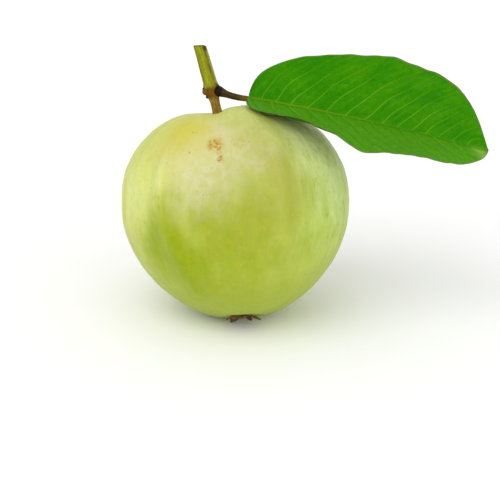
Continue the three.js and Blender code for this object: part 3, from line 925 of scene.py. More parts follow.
class GUAVA_OT_fruit(bpy.types.Operator):
    """Builds the fruit's skin with its relief, and the corky specks on it"""

    bl_idname = "guava.fruit"
    bl_label = "Fruit"

    def execute(self, context):
        fruit = context.scene.guava.fruit
        ways, faces = ball(rings=224, segments=420)
        world = ways @ fruit_turn(fruit).T
        reach = skin_radius(ways, fruit)
        # The skin keeps to the smaller of its own reach and the floor's, rounded where they cross.
        to_floor = fruit.centre[2] / np.maximum(-world[:, 2], 1e-3)
        to_floor = np.where(world[:, 2] < -0.1, to_floor, 1.0)
        reach = (reach + to_floor - np.sqrt((reach - to_floor) ** 2 + FLAT_EDGE**2)) / 2
        skin = new_object("guava_fruit", np.array(fruit.centre) + world * reach[:, None], faces)
        set_attribute(skin, "core_way", ways)
        set_attribute(skin, "speck_share", self.speck_share(ways))
        set_attribute(skin, "ridge_share", ridges(ways) / RIDGE_HEIGHT)
        set_attribute(skin, "streak_share", green_streaks_and_leaf_shadow(ways))
        run_tree(
            skin,
            skin_relief_tree(),
            Lump_Height=fruit.lump_height,
            Lumps_per_Metre=95.0,
            Dimples_per_Metre=330.0,
            Wrinkle_Height=fruit.wrinkle_height,
            Wrinkles_Round=8.0,
            Wrinkled_Way=unit(GREEN_FLANK).tolist(),
            Seed=0.37,
            Material=skin_material(fruit),
        )

        specks = skin.copy()
        specks.data = skin.data.copy()
        specks.name = "guava_skin_specks"
        context.scene.collection.objects.link(specks)
        cork = cork_material(fruit)
        run_tree(specks, specks_tree(), Smallest=0.1 * MM, Largest=0.26 * MM, Seed=5, Material=cork)

        finish_piece(skin, "fruit")
        finish_piece(specks, None)
        return {"FINISHED"}

    @staticmethod
    def speck_share(ways):
        """How thickly the specks lie: a few everywhere, and more round the scars."""
        thick = np.full(len(ways), SPECKS_EVERYWHERE)
        for middle, spread, amount in SPECK_CROWDS:
            thick += amount * bell(np.linalg.norm(ways - unit(middle), axis=1), 0, spread)
        return thick


# Stem shapes: twig and petiole ----------------------------------------------------------------


@geometry_nodes(
    "Stem along its path", Sides=48, Grain_Height=0.05 * MM, Grain_Lines=5.0, Knot_Height=0.05 * MM, Seed=0.0
)
def stem_tree(steps, source):
    """Grows a stem along a path, with a lengthwise grain and knots."""
    curve = steps.node("GeometryNodeMeshToCurve", {"Mesh": source["Geometry"]}).outputs[0]
    circle = {"Resolution": source["Sides"], "Radius": 1.0}
    marked = {
        "Geometry": steps.node("GeometryNodeCurvePrimitiveCircle", circle).outputs[0],
        "Name": "stem_turn",
        "Value": steps.node("GeometryNodeSplineParameter").outputs["Factor"],
    }
    outline = steps.node(
        "GeometryNodeStoreNamedAttribute", marked, data_type="FLOAT", domain="POINT"
    ).outputs[0]
    tube = {"Curve": curve, "Profile Curve": outline, "Scale": steps.named("stem_radius"), "Fill Caps": True}
    shape = steps.node("GeometryNodeCurveToMesh", tube).outputs[0]

    around = steps.times(steps.named("stem_turn"), TURN)
    along = steps.times(steps.named("stem_along"), 0.06 / MM)
    ring = steps.join(steps.math("COSINE", around), steps.math("SINE", around), along)
    ring = steps.vector("ADD", ring, steps.join(0.0, 0.0, source["Seed"]))
    grain = steps.times(steps.swing(ring, source["Grain Lines"], 3.0, 0.6), source["Grain Height"], 2.0)
    place = steps.node("GeometryNodeInputPosition").outputs[0]
    knots = steps.times(steps.swing(place, 420.0, 2.0), source["Knot Height"])
    return steps.push(shape, steps.node("GeometryNodeInputNormal").outputs[0], steps.add(grain, knots))


def stem_path(name, points, radii):
    """A path for the stem tree, with its thickness at each point."""
    points = np.asarray(points)
    steps = np.linalg.norm(np.diff(points, axis=0), axis=1)
    path = new_object(name, points, [], [(i, i + 1) for i in range(len(points) - 1)])
    set_attribute(path, "stem_radius", radii)
    set_attribute(path, "stem_along", np.concatenate([[0.0], np.cumsum(steps)]))
    return path


def small_body(name, middle, sizes, tip=0.0):
    """A small rounded body, pointed at its upper end by the given share, such as a bud or a scar."""
    points, faces = ball(rings=14, segments=20)
    points[:, :2] *= 1 - tip * smooth_step(points[:, 2:3])
    return new_object(name, points * (np.array(sizes) * MM) + middle, faces)


# Twig -----------------------------------------------------------------------------------------

STALK_RUN = np.array([-2.5, 4.1, 10.0]) * MM  # from the stalk's foot on the fruit up to the node
SHOOT_RUN = np.array([-4.3, 6.0, 14.0]) * MM  # from the node up to the cut
CUT_TILT = math.radians(21)
CUT_FACING = (0.0, math.sin(CUT_TILT), math.cos(CUT_TILT))
# Insets from the cut's edge to its pith: how far in and how far out of the face, in millimetres.
CUT_INSETS = ((0.18, 0.05), (0.35, -0.10), (0.4, 0.02), (0.45, 0.0), (0.3, -0.08))
CUT_RADIUS = 2.1 * MM
FACE_RADIUS = 2.05 * MM  # points nearer the middle than this belong to the cut face
FACE_DEPTH = 0.16 * MM  # unless they are further below the cut than this
CORNER_TURN = math.radians(35)  # turns the shoot's four corners round it
# Distance from the node and radius, in millimetres: the stalk, the node, then the shoot.
TWIG_PROFILE = (
    (-12.8, 1.7), (-11.6, 2.05), (-10.6, 1.86), (-9, 1.76), (-7.5, 1.7), (-5.5, 1.66), (-4, 1.78),
    (-2.7, 2.1), (-1.6, 2.5), (-0.7, 2.9), (-0.2, 3.02), (0.25, 2.98), (0.8, 2.76), (1.6, 2.52), (3, 2.42),
    (7, 2.36), (10, 2.3), (13, 2.22), (19, 2.12),
)
TWIG_STEPS = 150
# The node's small parts: its side, how far out and how far up the shoot it is, its sizes, and how pointed
# its tip is. Lengths are in millimetres.
NODE_PARTS = (
    ("leaf_scar", "left", 2.15, -0.7, (1.5, 1.6, 1.1), 0.0),
    ("scar_lip", "left", 2.5, 0.5, (0.9, 1.3, 0.45), 0.0),
    ("scar_stub", "left", 2.15, -2.5, (0.75, 0.7, 0.6), 0.0),
    ("petiole_seat", "right", 2.1, 0.0, (1.6, 1.75, 1.6), 0.0),
    ("left_bud", "left", 2.0, 1.7, (0.75, 0.8, 1.5), 0.6),
    ("right_bud", "right", 1.9, 2.0, (0.7, 0.8, 1.6), 0.6),
)
GRAIN_OLIVE = srgb(92, 96, 0)
CORNER_BROWN = srgb(98, 74, 4)
STALK_PALE = srgb(176, 150, 56)
STALK_BROWN = srgb(88, 50, 10)
NODE_PALE = srgb(136, 84, 20)
FLECK = srgb(72, 48, 16)
BLACKENED = srgb(24, 14, 6)
FOOT_BROWN = srgb(92, 66, 28)
WOOD = srgb(104, 78, 36)
CUT_RIM = srgb(74, 50, 20)


def twig_places(fruit):
    """The node and the middle of the cut."""
    foot = np.array(fruit.centre) + (STALK_WAY * skin_radius(STALK_WAY, fruit)) @ fruit_turn(fruit).T
    node = foot + STALK_RUN
    return node, node + SHOOT_RUN


def twig_material(twig):
    """Olive shoot with pale ridges, brown node, browner stalk and a pale pith at the cut."""
    material, steps = new_material("guava_twig", Specular_IOR_Level=0.12)
    ring = steps.attribute("stem_ring", "Vector")
    along = steps.split(ring)[2]
    cut = steps.attribute("stem_cut")
    corner = steps.attribute("stem_corner")
    place = steps.object_place()

    grain = streaks(steps, ring, 5.0, 0.045, 0.38, 0.66)
    fine_grain = streaks(steps, ring, 16.0, 0.05, 0.35, 0.7)
    blotches = mottle(steps, place, 320.0, 0.4, 0.66)
    uneven_along = steps.add(along, steps.times(blotches, 1.2))
    near_node = steps.ramp(steps.magnitude(steps.add(uneven_along, 0.5)), 2.8, 0.9)
    stalk = steps.paint(twig.stalk, (grain, 1, STALK_PALE), (fine_grain, 0.6, STALK_BROWN))
    wood = steps.blend(steps.ramp(cut, 0.12, 0.34), WOOD, twig.pith)
    base = steps.paint(
        twig.shoot,
        (steps.ramp(corner, -0.1, -0.9), 0.6, twig.ridge),
        (grain, 0.6, GRAIN_OLIVE),
        (steps.ramp(corner, 0.6, 1.0), steps.ramp(blotches, 0.0, 1.0, 0.35, 0.85), CORNER_BROWN),
        (steps.ramp(uneven_along, 0.2, -2.4), 1, stalk),
        (near_node, 0.88, steps.blend(fine_grain, twig.node, NODE_PALE)),
        (mottle(steps, place, 900.0, 0.55, 0.68), 0.45, FLECK),
        (steps.attribute("stem_dark"), 1, BLACKENED),
        (steps.ramp(along, -9.6, -10.8), 0.7, FOOT_BROWN),
        (steps.math("GREATER_THAN", cut, 0.01), 1, steps.blend(steps.ramp(cut, 0.62, 0.95), wood, CUT_RIM)),
    )
    steps.shade(
        Base_Color=base,
        Roughness=steps.ramp(near_node, 0.0, 1.0, 0.42, 0.75),
        Normal=steps.bumps((fine_grain, 0.35, 0.12 * MM), (blotches, 0.2, 0.15 * MM)),
    )
    return material


class GUAVA_OT_twig(bpy.types.Operator):
    """Builds the fruit's stalk, the node with its scar and buds, and the cut shoot, blended into one"""

    bl_idname = "guava.twig"
    bl_label = "Twig"

    def execute(self, context):
        twig = context.scene.guava.twig
        node, cut = twig_places(context.scene.guava.fruit)
        shoot_way = unit(SHOOT_RUN)

        profile = np.array(TWIG_PROFILE) * MM
        distance = np.linspace(profile[0, 0], profile[-1, 0], TWIG_STEPS)
        radii = np.interp(distance, profile[:, 0], profile[:, 1])
        # Rounds the profile's corners.
        radii = np.convolve(np.pad(radii, 2, mode="edge"), np.ones(5) / 5, mode="valid")
        way = np.where(distance[:, None] < 0, unit(STALK_RUN), shoot_way)
        body = stem_path("guava_twig", node + way * distance[:, None], radii)
        run_tree(
            body,
            stem_tree(),
            Sides=64,
            Grain_Height=twig.grain_height,
            Grain_Lines=4.0,
            Knot_Height=0.12 * MM,
            Seed=2.0,
        )

        sides = {"left": np.array([-1.0, -0.1, -0.2]), "right": unit(LEAF_BASE)}
        parts = [body]
        for name, side, out, up, sizes, tip in NODE_PARTS:
            parts.append(small_body(name, node + sides[side] * out * MM + shoot_way * up * MM, sizes, tip))
        whole = join_objects("guava_twig", parts)
        blend_together(whole, twig.voxel)
        edit_mesh(whole, lambda made: self.cut_off(made, cut))
        self.square_and_describe(whole, node, shoot_way, cut, twig.squareness)
        finish_piece(whole, "twig", twig_material(twig))
        return {"FINISHED"}

    @staticmethod
    def cut_off(made, cut):
        """Cuts the shoot off on a slant and gives the cut face a lip, a dished wood ring and a pith."""
        everything = made.verts[:] + made.edges[:] + made.faces[:]
        plane = {"plane_co": Vector(cut), "plane_no": Vector(CUT_FACING)}
        bmesh.ops.bisect_plane(made, geom=everything, clear_outer=True, **plane)
        open_edges = [edge for edge in made.edges if edge.is_boundary]
        face = bmesh.ops.contextual_create(made, geom=open_edges)["faces"]
        for thickness, depth in CUT_INSETS:
            bmesh.ops.inset_region(made, faces=face, thickness=thickness * MM, depth=depth * MM)

    @staticmethod
    def square_and_describe(obj, node, shoot_way, cut, squareness):
        """Makes the shoot four-angled, and stores each point's place round and along it, for the material."""
        points = points_of(obj)
        side = unit(np.cross([0.0, 1.0, 0.0], shoot_way))
        rel = points - node
        along = rel @ shoot_way
        axis = np.where(along[:, None] < 0, unit(STALK_RUN), shoot_way)
        off_axis = rel - axis * (rel * axis).sum(axis=1, keepdims=True)
        x, y = off_axis @ side, off_axis @ np.cross(shoot_way, side)
        out = set_ring_place(obj, x, y, along / MM)
        corner = np.cos(4 * (np.arctan2(y, x) - CORNER_TURN)) * smooth_step(along / (3 * MM))
        set_attribute(obj, "stem_corner", corner)
        wings = corner + 0.6 * np.clip(corner, 0, 1) ** 4
        points += off_axis * (squareness * wings)[:, None]
        obj.data.vertices.foreach_set("co", points.ravel())

        past = (points - cut) @ np.array(CUT_FACING)
        on_cut = (past > -FACE_DEPTH) & (out < FACE_RADIUS)
        set_attribute(obj, "stem_cut", np.where(on_cut, np.clip(out / CUT_RADIUS, 0.02, 1.0), 0.0))
        # Where the bark is nearly black: the middle and the radius of each place, in millimetres.
        dark_places = (
            (node + np.array([-2.3, -0.4, -0.9]) * MM - shoot_way * 1.9 * MM, 0.9),
            (node + np.array([-2.9, -0.6, 0.2]) * MM, 0.55),
            (node + unit(LEAF_BASE) * 3.1 * MM, 2.1),
            (cut + np.array([1.5, -1.4, -0.7]) * MM, 1.35),
        )
        dark = 0.55 * smooth_step((past + 0.55 * MM) / (0.45 * MM)) * (past < -FACE_DEPTH)
        for middle, radius in dark_places:
            away = np.linalg.norm(points - middle, axis=1)
            dark = np.maximum(dark, 1 - smooth_step((away / MM - 0.6 * radius) / (0.6 * radius)))
        set_attribute(obj, "stem_dark", dark)


# Leaf -----------------------------------------------------------------------------------------

LEAF_BASE = np.array([12.7, -8.7, -0.7]) * MM  # from the node
LEAF_RUN = np.array([81.8, -16.2, -14.2]) * MM  # from the base to the tip
LEAF_ROLL = math.radians(24)
LEAF_LENGTH = float(np.linalg.norm(LEAF_RUN))
WIDEST = 0.54
# Half width, powers and roundness towards the base and the tip.
FAR_HALF = {"side": 1, "width": 25.5 * MM, "base": (1.1, 0.32), "tip": (3.8, 1.08)}
NEAR_HALF = {"side": -1, "width": 24.5 * MM, "base": (1.1, 0.33), "tip": (1.9, 0.46)}
VEIN_SLOPE = 0.62
VEIN_PAIRS = 14
VEIN_BEND = 1.3  # how far forward a vein bends by the margin, in spaces between veins
VEIN_BACK = 0.12  # and how much steeper it leaves the midrib
LEAF_ROWS = 300
LEAF_COLUMNS = 62  # in each half
ROW_CROWDING = 0.75  # how much closer the rows are at both ends of the leaf
END_GAP = 2e-4  # from an end to its first row, as a share of the length
LEAF_SHEEN = srgb(150, 230, 60)
# The colour of the painted highlight near the leaf's tip.
TIP_HIGHLIGHT = srgb(150, 188, 72)
MIDRIB_TIP = srgb(78, 144, 10)
UNDER_DARK = srgb(44, 82, 18)
UNDER_NET = srgb(84, 122, 50)
UNDER_VEIN = srgb(122, 142, 66)


def leaf_axes():
    """Unit vectors along the leaf, across it to its far edge, and up out of its blade."""
    along = unit(LEAF_RUN)
    across = np.array([0.0, math.cos(LEAF_ROLL), math.sin(LEAF_ROLL)])
    across = unit(across - along * (across @ along))
    return along, across, np.cross(along, across)


def half_width(half, along_share):
    """From the midrib out to a half's margin, with the ripples of its edge."""
    s = np.clip(along_share, 0, 1)
    to_base = np.maximum(0, (WIDEST - s) / WIDEST)
    to_tip = np.maximum(0, (s - WIDEST) / (1 - WIDEST))
    base_power, base_round = half["base"]
    tip_power, tip_round = half["tip"]
    width = half["width"] * (1 - to_base**base_power) ** base_round
    width = width * np.maximum(0, 1 - to_tip**tip_power) ** tip_round
    long_ripple = 0.007 * np.sin(TURN * (5.3 * s + 0.4 * half["side"]))
    return width * (1 + (long_ripple + 0.004 * np.sin(TURN * (11.0 * s + 0.2))))


def fold_angle(half, along_share, to_edge):
    """How far a half rises out of the blade's plane: its fold, its curls and the waves of its edge."""
    s = along_share
    if half["side"] > 0:
        wave = 1.2 * np.sin(TURN * (3.1 * s + 0.12))
        degrees = 28.7 - 10.3 * smooth_step((s - 0.3) / 0.6) + (1.4 - wave) * to_edge**2
    else:
        curl = 10 * bell(s, 0.24, 0.18) * to_edge**3
        waves = (2.2 * bell(s, 0.72, 0.1) - 4.4 * bell(s, 0.517, 0.067)) * to_edge**2
        droop = 5.5 * smooth_step((s - 0.75) / 0.25) * to_edge + 0.9 * smooth_step((s - 0.4) / 0.4)
        degrees = 18.3 + curl + waves - droop
    return np.radians(degrees)


def vein_forward(start):
    """How far forward a row runs for each metre out, where it starts at a share of the midrib."""
    return VEIN_SLOPE * smooth_step(start / 0.22) * (1 - 0.25 * smooth_step((start - 0.7) / 0.3))


def edge_distance(half, start):
    """How far out each row meets the margin, found by halving."""
    low = np.zeros_like(start)
    high = np.full_like(start, 1.5 * half["width"])
    for _ in range(40):
        middle = (low + high) / 2
        inside = middle <= half_width(half, start + vein_forward(start) * middle / LEAF_LENGTH)
        low = np.where(inside, middle, low)
        high = np.where(inside, high, middle)
    return low


def blade_half(half, start, to_edge, base, leaf):
    """A half's upper face in rows that follow the veins: its places, how far out, and counts of its veins."""
    out = edge_distance(half, start)[:, None] * to_edge[None, :]
    along = start[:, None] * LEAF_LENGTH + vein_forward(start)[:, None] * out
    along_share = along / LEAF_LENGTH
    fold = fold_angle(half, along_share, to_edge[None, :])
    along_way, across_way, up_way = leaf_axes()
    arch = leaf.arch * 4 * along_share * (1 - along_share)
    lift = np.sqrt(out**2 + leaf.fold_round**2) * np.sin(fold) + arch
    places = base + along[..., None] * along_way + (half["side"] * out * np.cos(fold))[..., None] * across_way
    return places + lift[..., None] * up_way, half["side"] * out, vein_phase(half, start, to_edge, out)


def vein_phase(half, start, to_edge, out):
    """Counts the side veins from the base: a whole number on each vein.

    They are unevenly spaced, and each bends forward on its way out and wavers a little.
    """
    even = start * (VEIN_PAIRS + 1)
    if half["side"] > 0:
        uneven = even + 0.35 * np.sin(TURN * start / 0.75)
    else:
        uneven = even + 0.25 * np.sin(TURN * start / 0.6 + 0.8) + 0.3
    phase = uneven[:, None] - VEIN_BEND * to_edge[None, :] ** 2.2 + VEIN_BACK * to_edge[None, :]
    waver = np.sin(0.45 * out / MM + 2.3 * np.round(phase)) * np.clip(out / (3 * MM), 0, 1)
    return phase + 0.05 * waver


@geometry_nodes(
    "Leaf relief",
    Pucker=0.2 * MM,
    Vein_Groove=0.1 * MM,
    Vein_Ridge=0.3 * MM,
    Midrib_Ridge=0.9 * MM,
    Unevenness=0.3 * MM,
    Seed=0.0,
)
def leaf_relief_tree(steps, source):
    """Shapes the blade: swellings between veins, grooves above, ridges below."""
    along, out, under = steps.split(steps.named("blade_place", "FLOAT_VECTOR"))
    phase, to_edge, _ = steps.split(steps.named("blade_vein", "FLOAT_VECTOR"))
    away = steps.magnitude(steps.minus(phase, steps.math("ROUND", phase)))
    from_midrib = steps.magnitude(out)
    fade_edge = steps.ramp(to_edge, 1.0, 0.72)
    off_midrib = steps.ramp(from_midrib, 0.4, 3.0)

    fade_swell = steps.times(off_midrib, steps.ramp(to_edge, 1.0, 0.8, 0.25, 1.0))
    swell = steps.times(steps.ramp(away, 0.0, 0.42), source["Pucker"], fade_swell)
    groove = steps.times(steps.ramp(away, 0.09, 0.0), source["Vein Groove"], fade_edge)
    ridge = steps.times(steps.ramp(away, 0.15, 0.0), source["Vein Ridge"], steps.times(fade_edge, under))
    rib_share = steps.over(from_midrib, steps.ramp(along, 0.0, 80.0, 1.1, 0.45))
    rib = steps.ramp(rib_share, 1.0, 0.0)
    rib_below = steps.times(rib, source["Midrib Ridge"], under, steps.ramp(along, 0.0, 85.0, 1.0, 0.35))
    core = steps.ramp(rib_share, 0.55, 0.1)
    rib_above = steps.minus(steps.times(core, 0.16 * MM), steps.times(rib, 0.14 * MM))
    rib_above = steps.times(rib_above, steps.minus(1.0, under))

    spread = steps.join(steps.add(along, source["Seed"]), out, 0.0)
    uneven = steps.times(steps.swing(spread, 0.085, 2.0), source["Unevenness"], off_midrib)
    raised = steps.add(swell, steps.add(uneven, rib_above))
    height = steps.minus(raised, groove, steps.larger(ridge, rib_below))
    return steps.push(source["Geometry"], steps.named("blade_up", "FLOAT_VECTOR"), height)


def leaf_material(leaf):
    """Waxy green blade with pale veins and a fine net between them, a near half lit with painted light, a
    painted highlight near the tip, and a matt lower face darkened as painted shade.
    """
    material, steps = new_material("guava_leaf", Specular_IOR_Level=0.2, Specular_Tint=LEAF_SHEEN)
    along, out, under = steps.split(steps.attribute("blade_place", "Vector"))
    phase, to_edge, _ = steps.split(steps.attribute("blade_vein", "Vector"))
    flat_place = steps.join(along, out, 0.0)
    broad = mottle(steps, flat_place, 0.09, 0.32, 0.68)
    fine = mottle(steps, flat_place, 0.6, 0.3, 0.7)

    away = steps.magnitude(steps.minus(phase, steps.math("ROUND", phase)))
    vein = steps.ramp(steps.over(away, steps.ramp(to_edge, 0.0, 1.0, 0.045, 0.012)), 1.0, 0.35)
    vein = steps.times(vein, steps.ramp(to_edge, 0.95, 0.45, 0.1, 1.0), steps.ramp(broad, 0.0, 1.0, 0.6, 1.0))
    between = steps.ramp(steps.magnitude(steps.minus(away, 0.5)), 0.02, 0.0)
    from_midrib = steps.magnitude(out)
    rib = steps.ramp(steps.over(from_midrib, steps.ramp(along, 0.0, 84.0, 0.5, 0.18)), 1.0, 0.6)

    def net_of(scale, randomness, edge):
        feeds = {
            "Vector": steps.join(steps.times(phase, 5.6), out, 0.0),
            "Scale": scale,
            "Randomness": randomness,
        }
        cells = steps.node("ShaderNodeTexVoronoi", feeds, feature="DISTANCE_TO_EDGE")
        return steps.ramp(cells.outputs["Distance"], edge, 0.02)

    net = net_of(0.95, 0.9, 0.10)
    fine_net = net_of(2.6, 1.0, 0.12)
    # Painted light: the near half is painted brighter green.
    near_half_light = steps.ramp(out, 1.0, -3.0, 0.0, 1.0)
    above = steps.paint(
        leaf.upper,
        (steps.larger(steps.times(broad, 0.6), near_half_light), 1, leaf.bright),
        (fine, 0.3, leaf.dark),
        (steps.ramp(away, 0.22, 0.0), 0.18, leaf.bright),
        (net, 0.32, leaf.bright),
        (fine_net, 0.35, leaf.dark),
        (between, 0.15, leaf.vein),
        (vein, 0.65, leaf.vein),
        (steps.ramp(to_edge, 0.972, 0.992), 0.7, leaf.margin),
        # Painted highlight: a paler patch near the tip.
        (patch(steps, flat_place, (81.0, -4.0, 0.0), 5.0, 0.5), 0.5, TIP_HIGHLIGHT),
        (rib, 0.9, steps.blend(steps.ramp(along, 6.0, 70.0), leaf.midrib, MIDRIB_TIP)),
    )
    veins_below = steps.larger(steps.ramp(away, 0.085, 0.03), steps.ramp(from_midrib, 1.2, 0.7))
    below = steps.paint(
        leaf.under,
        (fine, 0.5, UNDER_DARK),
        (net, 0.35, UNDER_NET),
        (veins_below, 0.8, UNDER_VEIN),
    )
    steps.shade(
        Base_Color=steps.blend(under, above, below),
        Roughness=steps.add(steps.ramp(fine, 0.0, 1.0, 0.33, 0.44), steps.times(under, 0.25)),
        Normal=steps.bumps(
            (net, 0.6, -0.14 * MM),
            (fine_net, 0.5, -0.08 * MM),
            (vein, 0.3, 0.06 * MM),
            (steps.noise(flat_place, 3.0, 3.0), 0.12, 0.12 * MM),
        ),
    )
    return material


class GUAVA_OT_leaf(bpy.types.Operator):
    """Builds the leaf: a folded, curled blade with grooved veins above and ridges below"""

    bl_idname = "guava.leaf"
    bl_label = "Leaf"

    def execute(self, context):
        leaf = context.scene.guava.leaf
        base = twig_places(context.scene.guava.fruit)[0] + LEAF_BASE
        spread = np.linspace(0, 1, LEAF_ROWS)
        start = spread - ROW_CROWDING * np.sin(TURN * spread) / TURN
        start[0], start[-1] = END_GAP, 1 - END_GAP
        to_edge = np.linspace(0, 1, LEAF_COLUMNS + 1)

        halves = zip(*(blade_half(half, start, to_edge, base, leaf) for half in (NEAR_HALF, FAR_HALF)))
        top, out, phase = (np.concatenate([near[:, :0:-1], far], axis=1) for near, far in halves)
        edge_share = np.concatenate([to_edge[:0:-1], to_edge])
        up = self.blade_up(top)
        thin = leaf.thickness * (1 - 0.45 * edge_share**6)
        blade = new_sheet("guava_leaf", top, top - up * thin[None, :, None])

        rows, columns = out.shape
        along = np.repeat(start * LEAF_LENGTH / MM, columns)
        under = np.repeat([0.0, 1.0], rows * columns)
        place = np.stack([np.tile(along, 2), np.tile(out.ravel() / MM, 2), under], axis=1)
        vein = np.stack([phase.ravel(), np.tile(edge_share, rows), 0 * along], axis=1)
        set_attribute(blade, "blade_place", place)
        set_attribute(blade, "blade_vein", np.tile(vein, (2, 1)))
        set_attribute(blade, "blade_up", np.tile(up.reshape(-1, 3), (2, 1)))
        run_tree(
            blade,
            leaf_relief_tree(),
            Pucker=leaf.pucker,
            Vein_Groove=leaf.vein_groove,
            Vein_Ridge=leaf.vein_ridge,
            Midrib_Ridge=leaf.midrib_ridge,
            Unevenness=0.9 * MM,
            Seed=3.0,
            Material=leaf_material(leaf),
        )
        finish_piece(blade, "leaf")
        return {"FINISHED"}

    @staticmethod
    def blade_up(top):
        """The blade's upward normal at each point, from its neighbours along and across."""
        up = np.cross(np.gradient(top, axis=0), np.gradient(top, axis=1))
        long_enough = np.linalg.norm(up, axis=-1, keepdims=True) > 1e-14
        return unit(np.where(long_enough, up, leaf_axes()[2]))


# Petiole --------------------------------------------------------------------------------------

BARK_GRAIN = srgb(112, 88, 40)
PETIOLE_STEPS = 60


def petiole_material(petiole):
    """Dark brown bark, nearly black at the foot and olive at the leaf."""
    material, steps = new_material("guava_petiole", Specular_IOR_Level=0.08)
    ring = steps.attribute("stem_ring", "Vector")
    grain = streaks(steps, ring, 6.0, 0.3, 0.36, 0.66)
    blotches = mottle(steps, steps.object_place(), 500.0, 0.35, 0.65)
    uneven = steps.add(steps.split(ring)[2], steps.times(blotches, 0.12))
    base = steps.paint(
        petiole.dark,
        (grain, 0.55, BARK_GRAIN),
        (blotches, 0.35, petiole.foot),
        (steps.ramp(uneven, 0.34, 0.12), 1, petiole.foot),
        (steps.ramp(uneven, 0.68, 1.0), 1, petiole.leafward),
    )
    steps.shade(
        Base_Color=base,
        Roughness=steps.ramp(blotches, 0.0, 1.0, 0.38, 0.6),
        Normal=steps.bumps((grain, 0.4, 0.12 * MM)),
    )
    return material


class GUAVA_OT_petiole(bpy.types.Operator):
    """Builds the sagging leaf stalk from the node to the midrib"""

    bl_idname = "guava.petiole"
    bl_label = "Leaf stalk"

    def execute(self, context):
        petiole = context.scene.guava.petiole
        node = twig_places(context.scene.guava.fruit)[0]
        along_way, _, up_way = leaf_axes()
        # It starts inside the node and ends inside the midrib.
        start = node + unit(LEAF_BASE) * 2.0 * MM
        end = node + LEAF_BASE - up_way * 0.3 * MM + along_way * 1.2 * MM
        sag_point = (start + end) / 2 - np.array([0.0, 0.0, 2 * petiole.sag])
        t = np.linspace(0, 1, PETIOLE_STEPS)[:, None]
        points = start * (1 - t) ** 2 + 2 * sag_point * t * (1 - t) + end * t**2
        t = t[:, 0]
        radii = petiole.radius + (petiole.end_radius - petiole.radius) * t
        radii = radii + (petiole.foot_radius - petiole.radius) * bell(t, 0.06, 0.16)
        radii = radii * (1 - 0.45 * smooth_step((t - 0.88) / 0.12))
        stalk = stem_path("guava_petiole", points, radii)
        run_tree(
            stalk,
            stem_tree(),
            Sides=40,
            Grain_Height=0.07 * MM,
            Grain_Lines=4.0,
            Knot_Height=0.14 * MM,
            Seed=9.0,
            Material=petiole_material(petiole),
        )
        self.describe(stalk, points)
        finish_piece(stalk, "petiole")
        return {"FINISHED"}

    @staticmethod
    def describe(obj, path):
        """Stores each point's place round and along the stalk, for the material."""
        points = points_of(obj)
        nearest = np.linalg.norm(points[:, None] - path[None], axis=2).argmin(axis=1)
        tangent = unit(np.gradient(path, axis=0))[nearest]
        rel = points - path[nearest]
        side = unit(np.cross([0.0, 0.0, 1.0], tangent))
        x, y = (rel * side).sum(axis=1), (rel * np.cross(tangent, side)).sum(axis=1)
        set_ring_place(obj, x, y, nearest / (len(path) - 1))


# Calyx ----------------------------------------------------------------------------------------

PAPERY = srgb(150, 122, 78)
SEPAL_ROWS, SEPAL_COLUMNS = 20, 17
SEPAL_THICKNESS = 0.3 * MM
THREAD_RINGS, THREAD_SIDES = 7, 5
EYE_SIDES = 48
# Distance out and height in millimetres, from the rim's outer foot in to the middle.
EYE_PROFILE = (
    (3.1, 0.05), (3.2, 0.45), (2.95, 0.85), (2.5, 0.95), (2.1, 0.7), (1.6, 0.5), (1.0, 0.42), (0.55, 0.5),
    (0.38, 0.9), (0.34, 1.35), (0.2, 1.5),
)
OFF_SKIN = 0.1 * MM
OFF_FLOOR = 0.12 * MM


@geometry_nodes("Pieces round a ring", Count=5, Radius=2 * MM, Unevenness=0.2, Lean=0.2, Seed=0)
def ring_tree(steps, source):
    """Sets copies of a piece round a ring, each a little different."""
    circle = {"Vertices": source["Count"], "Radius": source["Radius"]}
    turn = steps.over(steps.times(steps.node("GeometryNodeInputIndex").outputs[0], TURN), source["Count"])

    def random_number(low, high, offset):
        feeds = {2: low, 3: high, "Seed": steps.add(source["Seed"], offset)}
        return steps.node("FunctionNodeRandomValue", feeds, data_type="FLOAT").outputs[1]

    uneven = source["Unevenness"]
    aside = steps.times(random_number(-1.0, 1.0, 1), steps.times(uneven, 0.8))
    tilt = random_number(steps.times(source["Lean"], -1.0), source["Lean"], 2)
    rotation = steps.join(random_number(-0.15, 0.15, 3), tilt, steps.add(turn, aside))
    less, more = steps.minus(1.0, uneven), steps.add(1.0, uneven)
    placed = {
        "Points": steps.node("GeometryNodeMeshCircle", circle).outputs[0],
        "Instance": source["Geometry"],
        "Rotation": rotation,
        "Scale": steps.join(random_number(less, more, 4), random_number(less, more, 5), 1.0),
    }
    return steps.node("GeometryNodeInstanceOnPoints", placed).outputs[0]


def calyx_material(calyx):
    """Dry, papery and brown, darker in its folds."""
    material, steps = new_material("guava_calyx", Specular_IOR_Level=0.25)
    place = steps.object_place()
    folds = mottle(steps, place, 420.0, 0.35, 0.65)
    fine = mottle(steps, place, 1600.0, 0.35, 0.65)
    steps.shade(
        Base_Color=steps.paint(calyx.dry, (folds, 1, calyx.dark), (fine, 0.35, PAPERY)),
        Roughness=steps.ramp(folds, 0.0, 1.0, 0.75, 0.95),
        Normal=steps.bumps((folds, 0.5, 0.25 * MM), (fine, 0.4, 0.08 * MM)),
    )
    return material


